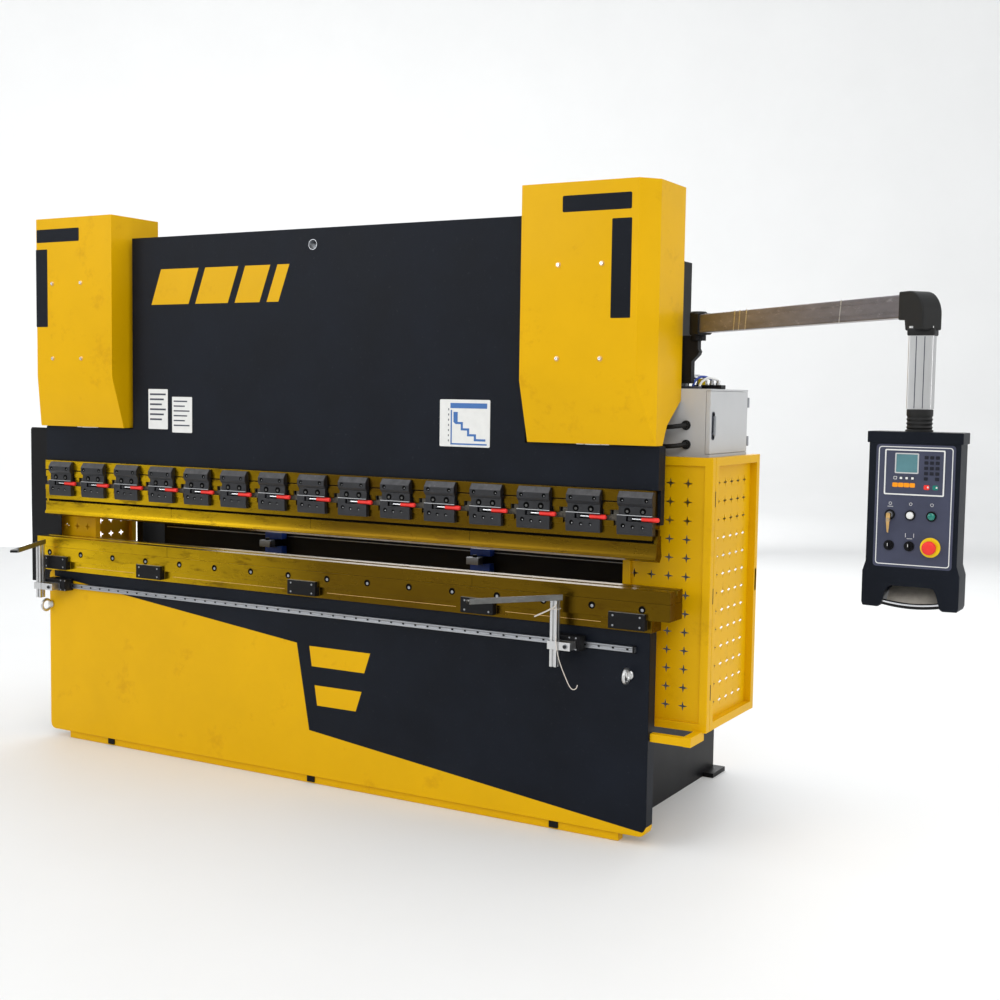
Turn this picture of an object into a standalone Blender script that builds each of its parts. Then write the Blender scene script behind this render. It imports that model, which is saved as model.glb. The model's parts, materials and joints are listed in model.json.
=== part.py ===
"""Hydraulic press brake, 3.2 m bending length, with a pendant control panel.

Frame: metres, +Z up, the front faces -Y.  The origin is on the floor, under the
middle of the bend line (the line where the punch meets the die).
Every object is one closed body.  Touching pieces keep GAP between them.
"""

from math import atan2, cos, hypot, pi, radians, sin

import bmesh
import bpy
from mathutils import Matrix, Vector

GAP = 0.0003

# Bed: the fixed front plate, standing on a plinth.
BED_HALF = 1.600
BED_FRONT = -0.030
BED_BACK = 0.030
BED_BOTTOM = 0.035
BED_TOP = 0.826
BED_CORNER = 0.030
PLINTH_HALF = 1.480

# Ram: the moving plate with a shoulder on each side under its cylinder.
RAM_HALF = 1.617
RAM_FRONT = -0.025
RAM_BACK = 0.035
RAM_BOTTOM = 1.230
RAM_TOP = 2.407
RAM_NECK_HALF = 1.045
RAM_SHOULDER = 1.526
LIFT_HOLE_Z = 2.338
LIFT_HOLE_R = 0.0225

# Upper tooling.
TOOL_HALF = 1.605
HOLDER_TOP = 1.362
HOLDER_BOTTOM = 1.190
HOLDER_FRONT = -0.045
CLAMP_COUNT = 15
CLAMP_PITCH = 0.2162
CLAMP_WIDTH = 0.147
CLAMP_FIRST_X = -1.560
CLAMP_FRONT = -0.066
CLAMP_TOP = 1.357
CLAMP_MID_TOP = 1.300
CLAMP_BODY_TOP = 1.268
CLAMP_BOTTOM = 1.194
LEVER_Z = 1.2545
LEVER_PIVOT_DX = 0.052
LEVER_PIVOT_Y = -0.0545
LEVER_LENGTH = 0.116
SLOT_HALF = 0.0095
TIP_Z = 1.090

# Lower tooling.
DIE_LEFT = -1.650
DIE_RIGHT = 1.690
DIE_FRONT = -0.060
DIE_TOP = 0.990
DIE_BOTTOM = 0.942
VEE_HALF = 0.015
VEE_DEPTH = 0.022
RAIL_BLOCK_BOTTOM = 0.876
SOLE_HALF = 1.612
SOLE_FRONT = -0.045
DIE_CLAMP_X = (-1.515, -0.905, -0.015, 0.865, 1.520)
DIE_CLAMP_SIZE = (0.150, 0.016, 0.062)
DIE_CLAMP_Z = 0.868

# Lifting eyes on the bed's front.
EYE_R = 0.026
EYE_BAR_R = 0.0068
EYE_STEPS = 20
EYE_OUT = 0.0335
EYES = {"left": (-1.588, 0.654), "right": (1.520, 0.657)}

# C-shaped side frames.
FRAME_INNER = 1.380
FRAME_OUTER = 1.420
THROAT_BACK = 0.380
THROAT_LOW = 0.840
THROAT_HIGH = 1.440
FRAME_ARM_FRONT = 0.125
FRAME_TOP = 2.280
FRAME_REAR_TOP = 0.740
FRAME_REAR = 1.150

# Cylinders and their covers.
CYL_X = 1.340
CYL_Y = 0.005
CYL_R = 0.100
CYL_BOTTOM = 1.710
CYL_TOP = 2.300
ROD_R = 0.050
COVER_INNER = 1.072
COVER_OUTER = 1.617
COVER_FRONT = -0.129
COVER_BACK = 0.174
COVER_TOP = 2.507
COVER_CREASE = 1.767
COVER_BOTTOM = 1.530
COVER_CHAMFER = (0.057, 0.071)
SHEET = 0.003

# Side guards, with square tube of this width.
TUBE = 0.033
GUARD_FRONT = 0.100
GUARD_BACK = 0.627
GUARD_LOW = 0.437
GUARD_HIGH = 1.487
GUARD_OUTER_RIGHT = 1.783
GUARD_OUTER_LEFT = 1.700

# Electric cabinet.
CAB_IN = FRAME_OUTER + GAP
CAB_OUT = 1.738
CAB_FRONT = 0.176
CAB_BACK = 0.586
LATCH_Y = 0.204
LATCH_Z = 1.575
CONDUIT_EXITS = ((1.640, 1.606), (1.642, 1.532))
CONDUIT_R = 0.0090
CAB_LOW = 1.200
CAB_HIGH = 1.746
DOOR_LOW = 1.497
DOOR_HIGH = 1.738

# Pendant arm.
PIVOT = Vector((1.668, 0.205))
ELBOW = Vector((2.705, -0.640))
ARM_LOW = 1.957
ARM_HIGH = 2.027
ARM_WIDTH = 0.050
DROP_BOTTOM = 1.688

# Pendant control box.
PEND_X = (2.563, 2.845)
PEND_Y = (-0.685, -0.592)
PEND_Z = (1.100, 1.622)
COLUMNS = (2.640, 2.699, 2.760)
ROW_HIGH = 1.377
ROW_LOW = 1.286
BUTTON_R = 0.0107

# Front sheet supports on their rail.
GUIDE_Z = (0.746, 0.768)
GUIDE_X = (-1.576, 1.546)
GUIDE_FRONT = -0.048
SUPPORT_X = {"left": -1.500, "right": 1.270}
SUPPORT_YAW = {"left": 30.0, "right": -38.0}
STEM_DX = {"left": -0.070, "right": -0.031}
GRIP_REACH = {"left": 0.100, "right": 0.076}
STEM_HALF = 0.0145
STEM_Y = -0.114
STEM_LOW = {"left": 0.699, "right": 0.672}
STEM_LENGTH = 0.258
REST_LENGTH = 0.360

# Synchronising shaft behind the ram.
SHAFT_Y = 0.220
SHAFT_Z = 1.560
SHAFT_R = 0.036
SHAFT_LEVER = 0.150

# Back gauge.
GAUGE_HALF = 1.290
GAUGE_Y = (0.440, 0.560)
GAUGE_Z = (0.885, 1.045)


def clear_scene():
    for obj in list(bpy.data.objects):
        bpy.data.objects.remove(obj, do_unlink=True)


def paint(name, colour, roughness, metallic=0.0):
    """A Principled material in one colour."""
    material = bpy.data.materials.new(name)
    material.use_nodes = True
    shader = material.node_tree.nodes["Principled BSDF"]
    shader.inputs["Base Color"].default_value = (*colour, 1.0)
    shader.inputs["Roughness"].default_value = roughness
    shader.inputs["Metallic"].default_value = metallic
    return material


def prism(outline, axis, low, high):
    """A closed prism: an outline in the plane across an axis, from low to high.

    Outline pairs are (y, z) for axis X, (x, z) for axis Y and (x, y) for axis Z.
    """
    places = {
        "X": lambda p, t: (t, p[0], p[1]),
        "Y": lambda p, t: (p[0], t, p[1]),
        "Z": lambda p, t: (p[0], p[1], t),
    }[axis]
    bm = bmesh.new()
    start = [bm.verts.new(places(p, low)) for p in outline]
    end = [bm.verts.new(places(p, high)) for p in outline]
    bm.faces.new(start)
    bm.faces.new(end)
    for i in range(len(outline)):
        j = (i + 1) % len(outline)
        bm.faces.new((start[i], start[j], end[j], end[i]))
    bmesh.ops.recalc_face_normals(bm, faces=bm.faces)
    return bm


def box(x, y, z):
    """A box from three (low, high) pairs."""
    return prism([(x[0], y[0]), (x[1], y[0]), (x[1], y[1]), (x[0], y[1])], "Z", *z)


def circle(centre, radius, count, start=0.0):
    """Points of a regular polygon round a centre."""
    turns = (start + 2 * pi * i / count for i in range(count))
    return [(centre[0] + radius * cos(a), centre[1] + radius * sin(a)) for a in turns]


def drum(axis, centre, radius, low, high, count=20):
    """A round bar along an axis."""
    return prism(circle(centre, radius, count), axis, low, high)


def arc(centre, radius, start, stop, count):
    """Points along an arc, angles in degrees."""
    steps = (radians(start + (stop - start) * i / count) for i in range(count + 1))
    return [(centre[0] + radius * cos(a), centre[1] + radius * sin(a)) for a in steps]


def rounded(x, z, radius, count=3):
    """A rectangle with round corners."""
    return (
        arc((x[1] - radius, z[1] - radius), radius, 0, 90, count)
        + arc((x[0] + radius, z[1] - radius), radius, 90, 180, count)
        + arc((x[0] + radius, z[0] + radius), radius, 180, 270, count)
        + arc((x[1] - radius, z[0] + radius), radius, 270, 360, count)
    )


def turned(bm, matrix):
    bmesh.ops.transform(bm, matrix=matrix, verts=bm.verts)
    return bm


def merged(bodies):
    """Several closed bodies in one mesh, for a Boolean tool."""
    whole = bmesh.new()
    for body in bodies:
        mesh = bpy.data.meshes.new("piece")
        body.to_mesh(mesh)
        body.free()
        whole.from_mesh(mesh)
        bpy.data.meshes.remove(mesh)
    return whole


def place(name, bm, material):
    mesh = bpy.data.meshes.new(name)
    bm.to_mesh(mesh)
    bm.free()
    obj = bpy.data.objects.new(name, mesh)
    bpy.context.scene.collection.objects.link(obj)
    if material:
        mesh.materials.append(material)
    return obj


def tool(name, bm):
    obj = place(name, bm, None)
    obj.hide_render = True
    obj.hide_set(True)
    obj.display_type = "WIRE"
    return obj


def combine(obj, operation, bm):
    modifier = obj.modifiers.new(operation.title(), "BOOLEAN")
    modifier.operation = operation
    modifier.solver = "EXACT"
    modifier.object = tool(f"{obj.name}_{operation.lower()}_{len(obj.modifiers)}", bm)


def part(name, material, base, add=(), cut=()):
    """One named solid: a base body, plus bodies united with it, less bodies cut from it."""
    obj = place(name, base, material)
    for bm in add:
        combine(obj, "UNION", bm)
    for bm in cut:
        combine(obj, "DIFFERENCE", bm)
    return obj


def set_pivot(obj, point):
    """Moves an object's origin onto its joint without moving its shape."""
    point = Vector(point)
    obj.data.transform(Matrix.Translation(-point))
    obj.location = point
    for modifier in obj.modifiers:
        modifier.object.data.transform(Matrix.Translation(-point))
        modifier.object.location = point


def signed(side, low, high):
    """An X range on the right, mirrored on the left."""
    return (low, high) if side > 0 else (-high, -low)


def bed(mats):
    outline = rounded((-BED_HALF, BED_HALF), (BED_BOTTOM, BED_TOP), BED_CORNER)
    plate = prism(outline, "Y", BED_FRONT, BED_BACK)
    plinth = box((-PLINTH_HALF, PLINTH_HALF), (-0.018, 0.026), (0.0, BED_BOTTOM + 0.01))
    part("bed_plate", mats["yellow"], plate, add=[plinth])


def ring_bolt(name, x, z, mats):
    """A lifting eye on the bed's front: a ring standing on a collar."""
    centre = (BED_FRONT - EYE_OUT, z)
    ring = bmesh.new()
    loops = []
    for i in range(EYE_STEPS):
        turn = 2 * pi * i / EYE_STEPS
        points = circle((EYE_R, 0.0), EYE_BAR_R, 8)
        loops.append([
            ring.verts.new((x + off, centre[0] + reach * cos(turn), centre[1] + reach * sin(turn)))
            for reach, off in points
        ])
    for i, loop in enumerate(loops):
        after = loops[(i + 1) % EYE_STEPS]
        for k in range(8):
            m = (k + 1) % 8
            ring.faces.new((loop[k], loop[m], after[m], after[k]))
    bmesh.ops.recalc_face_normals(ring, faces=ring.faces)
    collar = drum("Y", (x, z), 0.017, BED_FRONT - 0.009, BED_FRONT - GAP, 16)
    part(name, mats["steel"], ring, add=[collar])


def side_frame(name, side, mats):
    foot = 0.020
    profile = [(BED_BACK + GAP, 0.0), (FRAME_REAR, 0.0), (FRAME_REAR, 0.900)]
    profile += [(FRAME_REAR_TOP, 1.500), (FRAME_REAR_TOP, FRAME_TOP)]
    profile += [(FRAME_ARM_FRONT + 0.060, FRAME_TOP), (FRAME_ARM_FRONT, FRAME_TOP - 0.060)]
    profile += [(FRAME_ARM_FRONT, THROAT_HIGH)]
    profile += arc((THROAT_BACK - 0.060, THROAT_HIGH - 0.060), 0.060, 90, 0, 3)
    profile += arc((THROAT_BACK - 0.060, THROAT_LOW + 0.060), 0.060, 0, -90, 3)
    profile += [(0.070, THROAT_LOW), (BED_BACK + GAP, THROAT_LOW - 0.040)]
    plate = prism(profile, "X", *signed(side, FRAME_INNER, FRAME_OUTER))
    pad = box(signed(side, 1.330, 1.470), (1.020, 1.170), (0.0, foot))
    guide = box(signed(side, 0.970, 1.060), (RAM_BACK + 0.0015, 0.210), (1.600, 2.200))
    arm = box(signed(side, 1.050, FRAME_INNER + 0.01), (COVER_BACK + GAP, 0.209), (1.650, 2.150))
    track = box(signed(side, 1.300, FRAME_INNER + 0.01), (0.150, 1.060), (0.800, 0.860))
    bolted = [pad, track, arm, guide]
    if side > 0:
        bolted += arm_bracket()
    part(name, mats["black"], plate, add=bolted)


def rear_structure(mats):
    ends = (-FRAME_INNER + GAP, FRAME_INNER - GAP)
    beam = box(ends, (0.930, 1.080), (0.150, 0.450))
    hollow = box((ends[0] - 0.1, ends[1] + 0.1), (0.942, 1.068), (0.162, 0.438))
    part("rear_beam", mats["yellow"], beam, cut=[hollow])

    wall = 0.005
    tank_y = (0.300, 0.700)
    tank_z = (1.720, 2.080)
    tank = box(ends, tank_y, tank_z)
    inside = box(
        (ends[0] + wall, ends[1] - wall),
        (tank_y[0] + wall, tank_y[1] - wall),
        (tank_z[0] + wall, tank_z[1] - wall),
    )
    filler = drum("Z", (0.9, 0.5), 0.040, 2.0, 2.2, 12)
    valves = box((-0.85, -0.55), (0.40, 0.60), (tank_z[1] - 0.002, 2.22))
    part("oil_tank", mats["black"], tank, add=[valves], cut=[inside, filler])

    base = tank_z[1] + GAP
    axle = (0.5, base + 0.150)
    body = drum("X", axle, 0.120, -0.25, 0.12, 24)
    pump = drum("X", axle, 0.050, -0.42, -0.24, 16)
    fan_cover = drum("X", axle, 0.126, 0.11, 0.19, 24)
    feet = box((-0.20, 0.07), (0.41, 0.59), (base, base + 0.06))
    part("pump_motor", mats["grey"], body, add=[pump, fan_cover, feet])


def cylinder(name, side, mats):
    x = side * CYL_X
    body = drum("Z", (x, CYL_Y), CYL_R, CYL_BOTTOM, CYL_TOP, 24)
    lug = box((x - 0.038, x + 0.038), (0.060, COVER_BACK), (1.800, 2.100))
    port = box((x - 0.03, x + 0.03), (CYL_Y - 0.03, CYL_Y + 0.03), (CYL_TOP - 0.002, CYL_TOP + 0.04))
    bore = drum("Z", (x, CYL_Y), ROD_R + 0.0005, CYL_BOTTOM - 0.1, CYL_TOP - 0.040, 24)
    part(name, mats["steel"], body, add=[lug, port], cut=[bore])


def piston_rod(name, side, mats):
    x = side * CYL_X
    rod = drum("Z", (x, CYL_Y), ROD_R, RAM_SHOULDER + GAP, 2.150, 24)
    collar = box((x - 0.07, x + 0.07), (RAM_FRONT, RAM_BACK), (RAM_SHOULDER + GAP, RAM_SHOULDER + 0.03))
    part(name, mats["chrome"], rod, add=[collar])


def cover_volume(side, inset, open_by=0.0):
    """The space inside a cylinder cover's sheet, shrunk by inset; open_by pushes its back and foot out."""
    back = COVER_BACK + open_by
    lift = COVER_BOTTOM - open_by
    slope = 0.073 / (COVER_CREASE - COVER_BOTTOM)
    front = COVER_FRONT + inset
    toe = front + slope * (COVER_CREASE - lift)
    outline = [(front, COVER_TOP - inset), (front, COVER_CREASE), (toe, lift)]
    if open_by:
        outline += [(back, lift)]
    else:
        outline += [(0.004, lift), (0.043, 1.605), (0.122, 1.663), (back, 1.700)]
    outline += [(back, COVER_TOP - inset)]
    return prism(outline, "X", *signed(side, COVER_INNER + inset, COVER_OUTER - inset))


def cover_plan(side, inset):
    """What lies outside the cover's chamfered front corner."""
    dx, dy = COVER_CHAMFER
    out = COVER_OUTER - inset
    front = COVER_FRONT + inset
    corner = [(out - dx, front), (out + 0.02, front - 0.02), (out, front + dy)]
    corner = [(side * x, y) for x, y in corner]
    run = (corner[2][0] - corner[0][0], corner[2][1] - corner[0][1])
    low = (corner[0][0] - run[0], corner[0][1] - run[1])
    high = (corner[2][0] + run[0], corner[2][1] + run[1])
    return prism([low, (side * (out + 0.2), front - 0.2), high], "Z", COVER_BOTTOM - 0.2, COVER_TOP + 0.2)


def cylinder_cover(name, side, mats):
    hollow = place("hollow", cover_volume(side, SHEET, 0.05), None)
    combine(hollow, "DIFFERENCE", cover_plan(side, SHEET))
    obj = part(name, mats["yellow"], cover_volume(side, 0.0), cut=[cover_plan(side, 0.0)])
    shell = obj.modifiers.new("Shell", "BOOLEAN")
    shell.operation = "DIFFERENCE"
    shell.solver = "EXACT"
    shell.object = hollow
    hollow.name = f"{name}_hollow"
    hollow.hide_render = True
    hollow.display_type = "WIRE"


def ram(mats):
    outline = [(-RAM_HALF, RAM_BOTTOM), (RAM_HALF, RAM_BOTTOM), (RAM_HALF, RAM_SHOULDER)]
    outline += [(RAM_NECK_HALF, RAM_SHOULDER), (RAM_NECK_HALF, RAM_TOP)]
    outline += [(-RAM_NECK_HALF, RAM_TOP), (-RAM_NECK_HALF, RAM_SHOULDER), (-RAM_HALF, RAM_SHOULDER)]
    plate = prism(outline, "Y", RAM_FRONT, RAM_BACK)
    hole = drum("Y", (0.0, LIFT_HOLE_Z), LIFT_HOLE_R, -0.2, 0.2, 16)
    lower_step = box((-2.0, 2.0), (-0.2, 0.0), (1.0, HOLDER_TOP + GAP))
    part("ram_plate", mats["dark"], plate, cut=[hole, lower_step])


def clamp_left(index):
    return CLAMP_FIRST_X + CLAMP_PITCH * index


def clamp_body(index):
    """One quick clamp: a cap with a chamfered top, a bolted middle and a body with a lever slot."""
    x = clamp_left(index)
    outline = [(HOLDER_FRONT + 0.01, CLAMP_TOP), (CLAMP_FRONT + 0.012, CLAMP_TOP)]
    outline += [(CLAMP_FRONT - 0.004, CLAMP_TOP - 0.022), (CLAMP_FRONT - 0.004, CLAMP_MID_TOP + 0.012)]
    outline += [(CLAMP_FRONT + 0.008, CLAMP_MID_TOP), (CLAMP_FRONT + 0.008, CLAMP_BODY_TOP)]
    outline += [(CLAMP_FRONT, CLAMP_BODY_TOP), (CLAMP_FRONT, CLAMP_BOTTOM)]
    outline += [(HOLDER_FRONT + 0.01, CLAMP_BOTTOM)]
    return prism(outline, "X", x, x + CLAMP_WIDTH)


def lever_slot(index):
    x = clamp_left(index)
    span = (x + LEVER_PIVOT_DX - 0.013, x + CLAMP_WIDTH + 0.01)
    return box(span, (-0.2, LEVER_PIVOT_Y + 0.013), (LEVER_Z - SLOT_HALF, LEVER_Z + SLOT_HALF))


def clamp_holder(mats):
    web_front = HOLDER_FRONT + 0.012
    outline = [(-GAP, HOLDER_TOP), (HOLDER_FRONT, HOLDER_TOP), (HOLDER_FRONT, 1.318), (web_front, 1.318)]
    outline += [(web_front, 1.226), (HOLDER_FRONT, 1.226), (HOLDER_FRONT, HOLDER_BOTTOM)]
    outline += [(-0.016, HOLDER_BOTTOM), (-0.016, 1.216), (0.000, 1.216), (0.000, HOLDER_BOTTOM)]
    outline += [(0.026, HOLDER_BOTTOM), (0.026, RAM_BOTTOM - GAP), (-GAP, RAM_BOTTOM - GAP)]
    strip = prism(outline, "X", -TOOL_HALF, TOOL_HALF)
    clamps = merged([clamp_body(i) for i in range(CLAMP_COUNT)])
    slots = merged([lever_slot(i) for i in range(CLAMP_COUNT)])
    part("clamp_holder", mats["black"], strip, add=[clamps], cut=[slots])


def clamp_levers(mats):
    for i in range(CLAMP_COUNT):
        x = clamp_left(i) + LEVER_PIVOT_DX
        hub = drum("Z", (x, LEVER_PIVOT_Y), 0.0105, LEVER_Z - 0.0088, LEVER_Z + 0.0088, 12)
        rod = drum("X", (LEVER_PIVOT_Y, LEVER_Z), 0.0050, x, x + 0.060, 8)
        grip = drum("X", (LEVER_PIVOT_Y, LEVER_Z), 0.0085, x + 0.050, x + LEVER_LENGTH, 8)
        lever = part(f"clamp_lever_{i + 1:02d}", mats["red"], hub, add=[rod, grip])
        set_pivot(lever, (x, LEVER_PIVOT_Y, LEVER_Z))


def punch(mats):
    tang_top = 1.2155
    outline = [(-0.0157, HOLDER_BOTTOM - GAP), (-0.0157, tang_top)]
    outline += [(-GAP, tang_top), (-GAP, HOLDER_BOTTOM - GAP)]
    outline += [(0.010, HOLDER_BOTTOM - GAP), (0.010, 1.160), (0.014, 1.135), (0.020, 1.112)]
    outline += [(0.002, TIP_Z), (-0.002, TIP_Z), (-0.040, 1.102), (-0.040, 1.108), (-0.032, 1.122)]
    outline += [(-0.032, 1.162), (-0.026, 1.162), (-0.026, HOLDER_BOTTOM - GAP)]
    part("punch", mats["brass"], prism(outline[::-1], "X", -1.618, 1.618))


def lower_tooling(mats):
    half = -DIE_FRONT
    vee = [(VEE_HALF, DIE_TOP), (half, DIE_TOP), (half, DIE_BOTTOM + GAP), (-half, DIE_BOTTOM + GAP)]
    vee += [(-half, DIE_TOP), (-VEE_HALF, DIE_TOP)]
    vee += [(-0.003, DIE_TOP - VEE_DEPTH), (0.003, DIE_TOP - VEE_DEPTH)]
    part("die_block", mats["brass"], prism(vee, "X", DIE_LEFT, DIE_RIGHT))

    rail = box((DIE_LEFT, DIE_RIGHT), (DIE_FRONT, -DIE_FRONT), (RAIL_BLOCK_BOTTOM, DIE_BOTTOM))
    heights = (BED_TOP + GAP, RAIL_BLOCK_BOTTOM + 0.01)
    sole = box((-SOLE_HALF, SOLE_HALF), (SOLE_FRONT, -SOLE_FRONT), heights)
    width, depth, height = DIE_CLAMP_SIZE
    z = (DIE_CLAMP_Z - height / 2, DIE_CLAMP_Z + height / 2)
    y = (DIE_FRONT - depth, SOLE_FRONT + 0.01)
    clamps = [box((x - width / 2, x + width / 2), y, z) for x in DIE_CLAMP_X]
    part("die_rail", mats["brass"], rail, add=[sole, merged(clamps)])


def support_rail(mats):
    outline = [(BED_FRONT - GAP, GUIDE_Z[0]), (BED_FRONT - GAP, GUIDE_Z[1]), (GUIDE_FRONT, GUIDE_Z[1])]
    outline += [(GUIDE_FRONT, GUIDE_Z[1] - 0.005), (GUIDE_FRONT + 0.003, GUIDE_Z[1] - 0.008)]
    outline += [(GUIDE_FRONT + 0.003, GUIDE_Z[0] + 0.008), (GUIDE_FRONT, GUIDE_Z[0] + 0.005)]
    outline += [(GUIDE_FRONT, GUIDE_Z[0])]
    part("front_rail", mats["steel"], prism(outline, "X", *GUIDE_X))


def front_support(side, mats):
    """A carriage on the front rail, its stem, and the arm that the sheet rests on."""
    x = SUPPORT_X[side]
    stem_x = x + STEM_DX[side]
    gap = 0.0006
    outline = [(-0.034, 0.735), (-0.034, GUIDE_Z[0] - gap), (GUIDE_FRONT - gap, GUIDE_Z[0] - gap)]
    outline += [(GUIDE_FRONT - gap, GUIDE_Z[1] + gap), (-0.034, GUIDE_Z[1] + gap), (-0.034, 0.792)]
    outline += [(-0.084, 0.792), (-0.090, 0.786), (-0.090, 0.741), (-0.084, 0.735)]
    slider = prism(outline, "X", x - 0.065, x + 0.065)
    grip = box((stem_x - 0.022, stem_x + GRIP_REACH[side]), (-0.136, -0.085), (0.741, 0.773))
    reach = STEM_HALF + gap
    bore = box((stem_x - reach, stem_x + reach), (STEM_Y - reach, STEM_Y + reach), (0.7, 0.8))
    carriage = part(f"{side}_support_carriage", mats["black"], slider, add=[grip], cut=[bore])
    set_pivot(carriage, (x, BED_FRONT, sum(GUIDE_Z) / 2))

    h = STEM_HALF
    groove = 0.004
    stem_z = (STEM_LOW[side], STEM_LOW[side] + STEM_LENGTH)
    stem = box((stem_x - h, stem_x + h), (STEM_Y - h, STEM_Y + h), stem_z)
    slots = [
        box((stem_x - groove, stem_x + groove), (STEM_Y - h - 0.01, STEM_Y - h + 0.006), (0.6, 1.0)),
        box((stem_x + h - 0.006, stem_x + h + 0.01), (STEM_Y - groove, STEM_Y + groove), (0.6, 1.0)),
    ]
    upright = part(f"{side}_support_stem", mats["alu"], stem, cut=[merged(slots)])
    set_pivot(upright, (stem_x, STEM_Y, stem_z[0]))

    pivot = Vector((stem_x, STEM_Y, stem_z[1]))
    low = stem_z[1] + GAP
    bar = box((-0.020, 0.020), (-REST_LENGTH, 0.022), (low, low + 0.012))
    lip = box((0.014, 0.020), (-REST_LENGTH, 0.022), (low + 0.002, low + 0.022))
    turn = Matrix.Translation((pivot.x, pivot.y, 0)) @ Matrix.Rotation(radians(SUPPORT_YAW[side]), 4, "Z")
    rest = part(f"{side}_support_arm", mats["alu"], turned(bar, turn), add=[turned(lip, turn)])
    set_pivot(rest, pivot)


def square_tube_frame(z, posts, rails):
    """Bars of a welded frame: posts are (x, y) low corners, rails are (x pair, y pair, z low)."""
    bars = [box((px, px + TUBE), (py, py + TUBE), z) for px, py in posts]
    bars += [box(rx, ry, (rz, rz + TUBE)) for rx, ry, rz in rails]
    return bars


def right_guard(mats):
    inner = FRAME_OUTER + GAP
    outer = GUARD_OUTER_RIGHT
    post = outer - TUBE
    y = GUARD_FRONT
    z = (GUARD_LOW, GUARD_HIGH)
    back = GUARD_BACK - TUBE
    overlap = 0.002
    posts = [(post, y), (inner, y)]
    span = (inner + overlap, outer - overlap)
    rails = [(span, (y + 0.001, y + TUBE - 0.001), zz) for zz in (z[0] + 0.001, z[1] - TUBE - 0.001)]
    bars = square_tube_frame(z, posts, rails)
    panel = box((inner + 0.01, post + 0.01), (y + 0.012, y + 0.014), (z[0] + 0.01, z[1] - 0.01))
    foot = [
        box((1.735, 1.768), (-0.018, y + 0.02), (0.405, z[0] + 0.006)),
        box((BED_HALF + 0.0015, 1.767), (-0.017, 0.015), (0.406, 0.438)),
    ]
    part("right_guard_frame", mats["yellow"], bars[0], add=bars[1:] + [panel] + foot)

    gap = 0.0015
    front = y + TUBE + gap
    posts = [(post, front), (post, back)]
    span = (front + overlap, GUARD_BACK - overlap)
    rails = [((post + 0.001, outer - 0.001), span, zz) for zz in (z[0] + 0.001, z[1] - TUBE - 0.001)]
    bars = square_tube_frame(z, posts, rails)
    panel = box((post + 0.003, post + 0.005), (front + 0.01, back + 0.01), (z[0] + 0.01, z[1] - 0.01))
    door = part("right_guard_door", mats["yellow"], bars[0], add=bars[1:] + [panel])
    set_pivot(door, (outer, front, z[0]))


def left_guard(mats):
    inner = -FRAME_OUTER - GAP
    outer = -GUARD_OUTER_LEFT
    y = GUARD_FRONT
    z = (GUARD_LOW, GUARD_HIGH)
    back = GUARD_BACK - TUBE
    posts = [(outer, y), (inner - TUBE, y), (outer, back)]
    rails = []
    for zz in (z[0] + 0.001, z[1] - TUBE - 0.001):
        rails.append(((outer + 0.002, inner - 0.002), (y + 0.001, y + TUBE - 0.001), zz))
        rails.append(((outer + 0.001, outer + TUBE - 0.001), (y + 0.002, GUARD_BACK - 0.002), zz))
    bars = square_tube_frame(z, posts, rails)
    panels = [
        box((outer + 0.01, inner - 0.01), (y + 0.012, y + 0.014), (z[0] + 0.01, z[1] - 0.01)),
        box((outer + 0.012, outer + 0.014), (y + 0.01, back + 0.01), (z[0] + 0.01, z[1] - 0.01)),
    ]
    part("left_guard_cage", mats["yellow"], bars[0], add=bars[1:] + panels)

    outline = [(-1.620, 0.742), (-1.620, 1.515), (-1.822, 1.515), (-1.830, 1.505), (-1.830, 0.742)]
    plate = prism(outline, "Y", 0.066, 0.069)
    flange = box((-1.690, -1.687), (0.067, GUARD_FRONT - GAP), (0.900, 1.400))
    part("left_side_shield", mats["black"], plate, add=[flange])


def cabinet(mats):
    x = (CAB_IN, CAB_OUT)
    y = (CAB_FRONT, CAB_BACK)
    shell = box(x, y, (CAB_LOW, CAB_HIGH))
    walls = (y[0] + 0.010, y[1] - 0.010)
    rim = (y[0] + 0.016, y[1] - 0.016)
    past = (y[0] - 0.01, y[1] + 0.01)
    inside = box((x[0] + 0.010, x[1] - 0.024), walls, (DOOR_LOW + 0.010, DOOR_HIGH - 0.010))
    mouth = box((x[1] - 0.030, x[1] + 0.01), rim, (DOOR_LOW + 0.016, DOOR_HIGH - 0.016))
    recess = box((x[1] - 0.020, x[1] + 0.01), past, (DOOR_LOW - 0.001, DOOR_HIGH + 0.001))
    lower = box((x[0] + 0.010, x[1] - 0.010), walls, (CAB_LOW - 0.01, DOOR_LOW - 0.012))
    hole = [drum("Y", (px, pz), 0.0115, y[0] - 0.01, y[0] + 0.02, 12) for px, pz in CONDUIT_EXITS]
    part("cabinet_body", mats["grey"], shell, cut=[inside, mouth, recess, lower] + hole)

    slab = box((x[1] - 0.0195, x[1]), y, (DOOR_LOW, DOOR_HIGH))
    post = drum("X", (LATCH_Y, LATCH_Z), 0.0062, x[1] - 0.012, x[1] + 0.01, 12)
    door = part("cabinet_door", mats["grey"], slab, cut=[post])
    set_pivot(door, (x[1] - 0.001, CAB_BACK, DOOR_LOW))

    stub = drum("X", (LATCH_Y, LATCH_Z), 0.0058, x[1] - 0.0115, x[1] + 0.004, 12)
    across = (LATCH_Y - 0.007, LATCH_Y + 0.007)
    grip = box((x[1] + 0.0006, x[1] + 0.010), across, (LATCH_Z - 0.010, LATCH_Z + 0.070))
    set_pivot(part("cabinet_latch", mats["steel"], grip, add=[stub]), (x[1], LATCH_Y, LATCH_Z))


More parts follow.
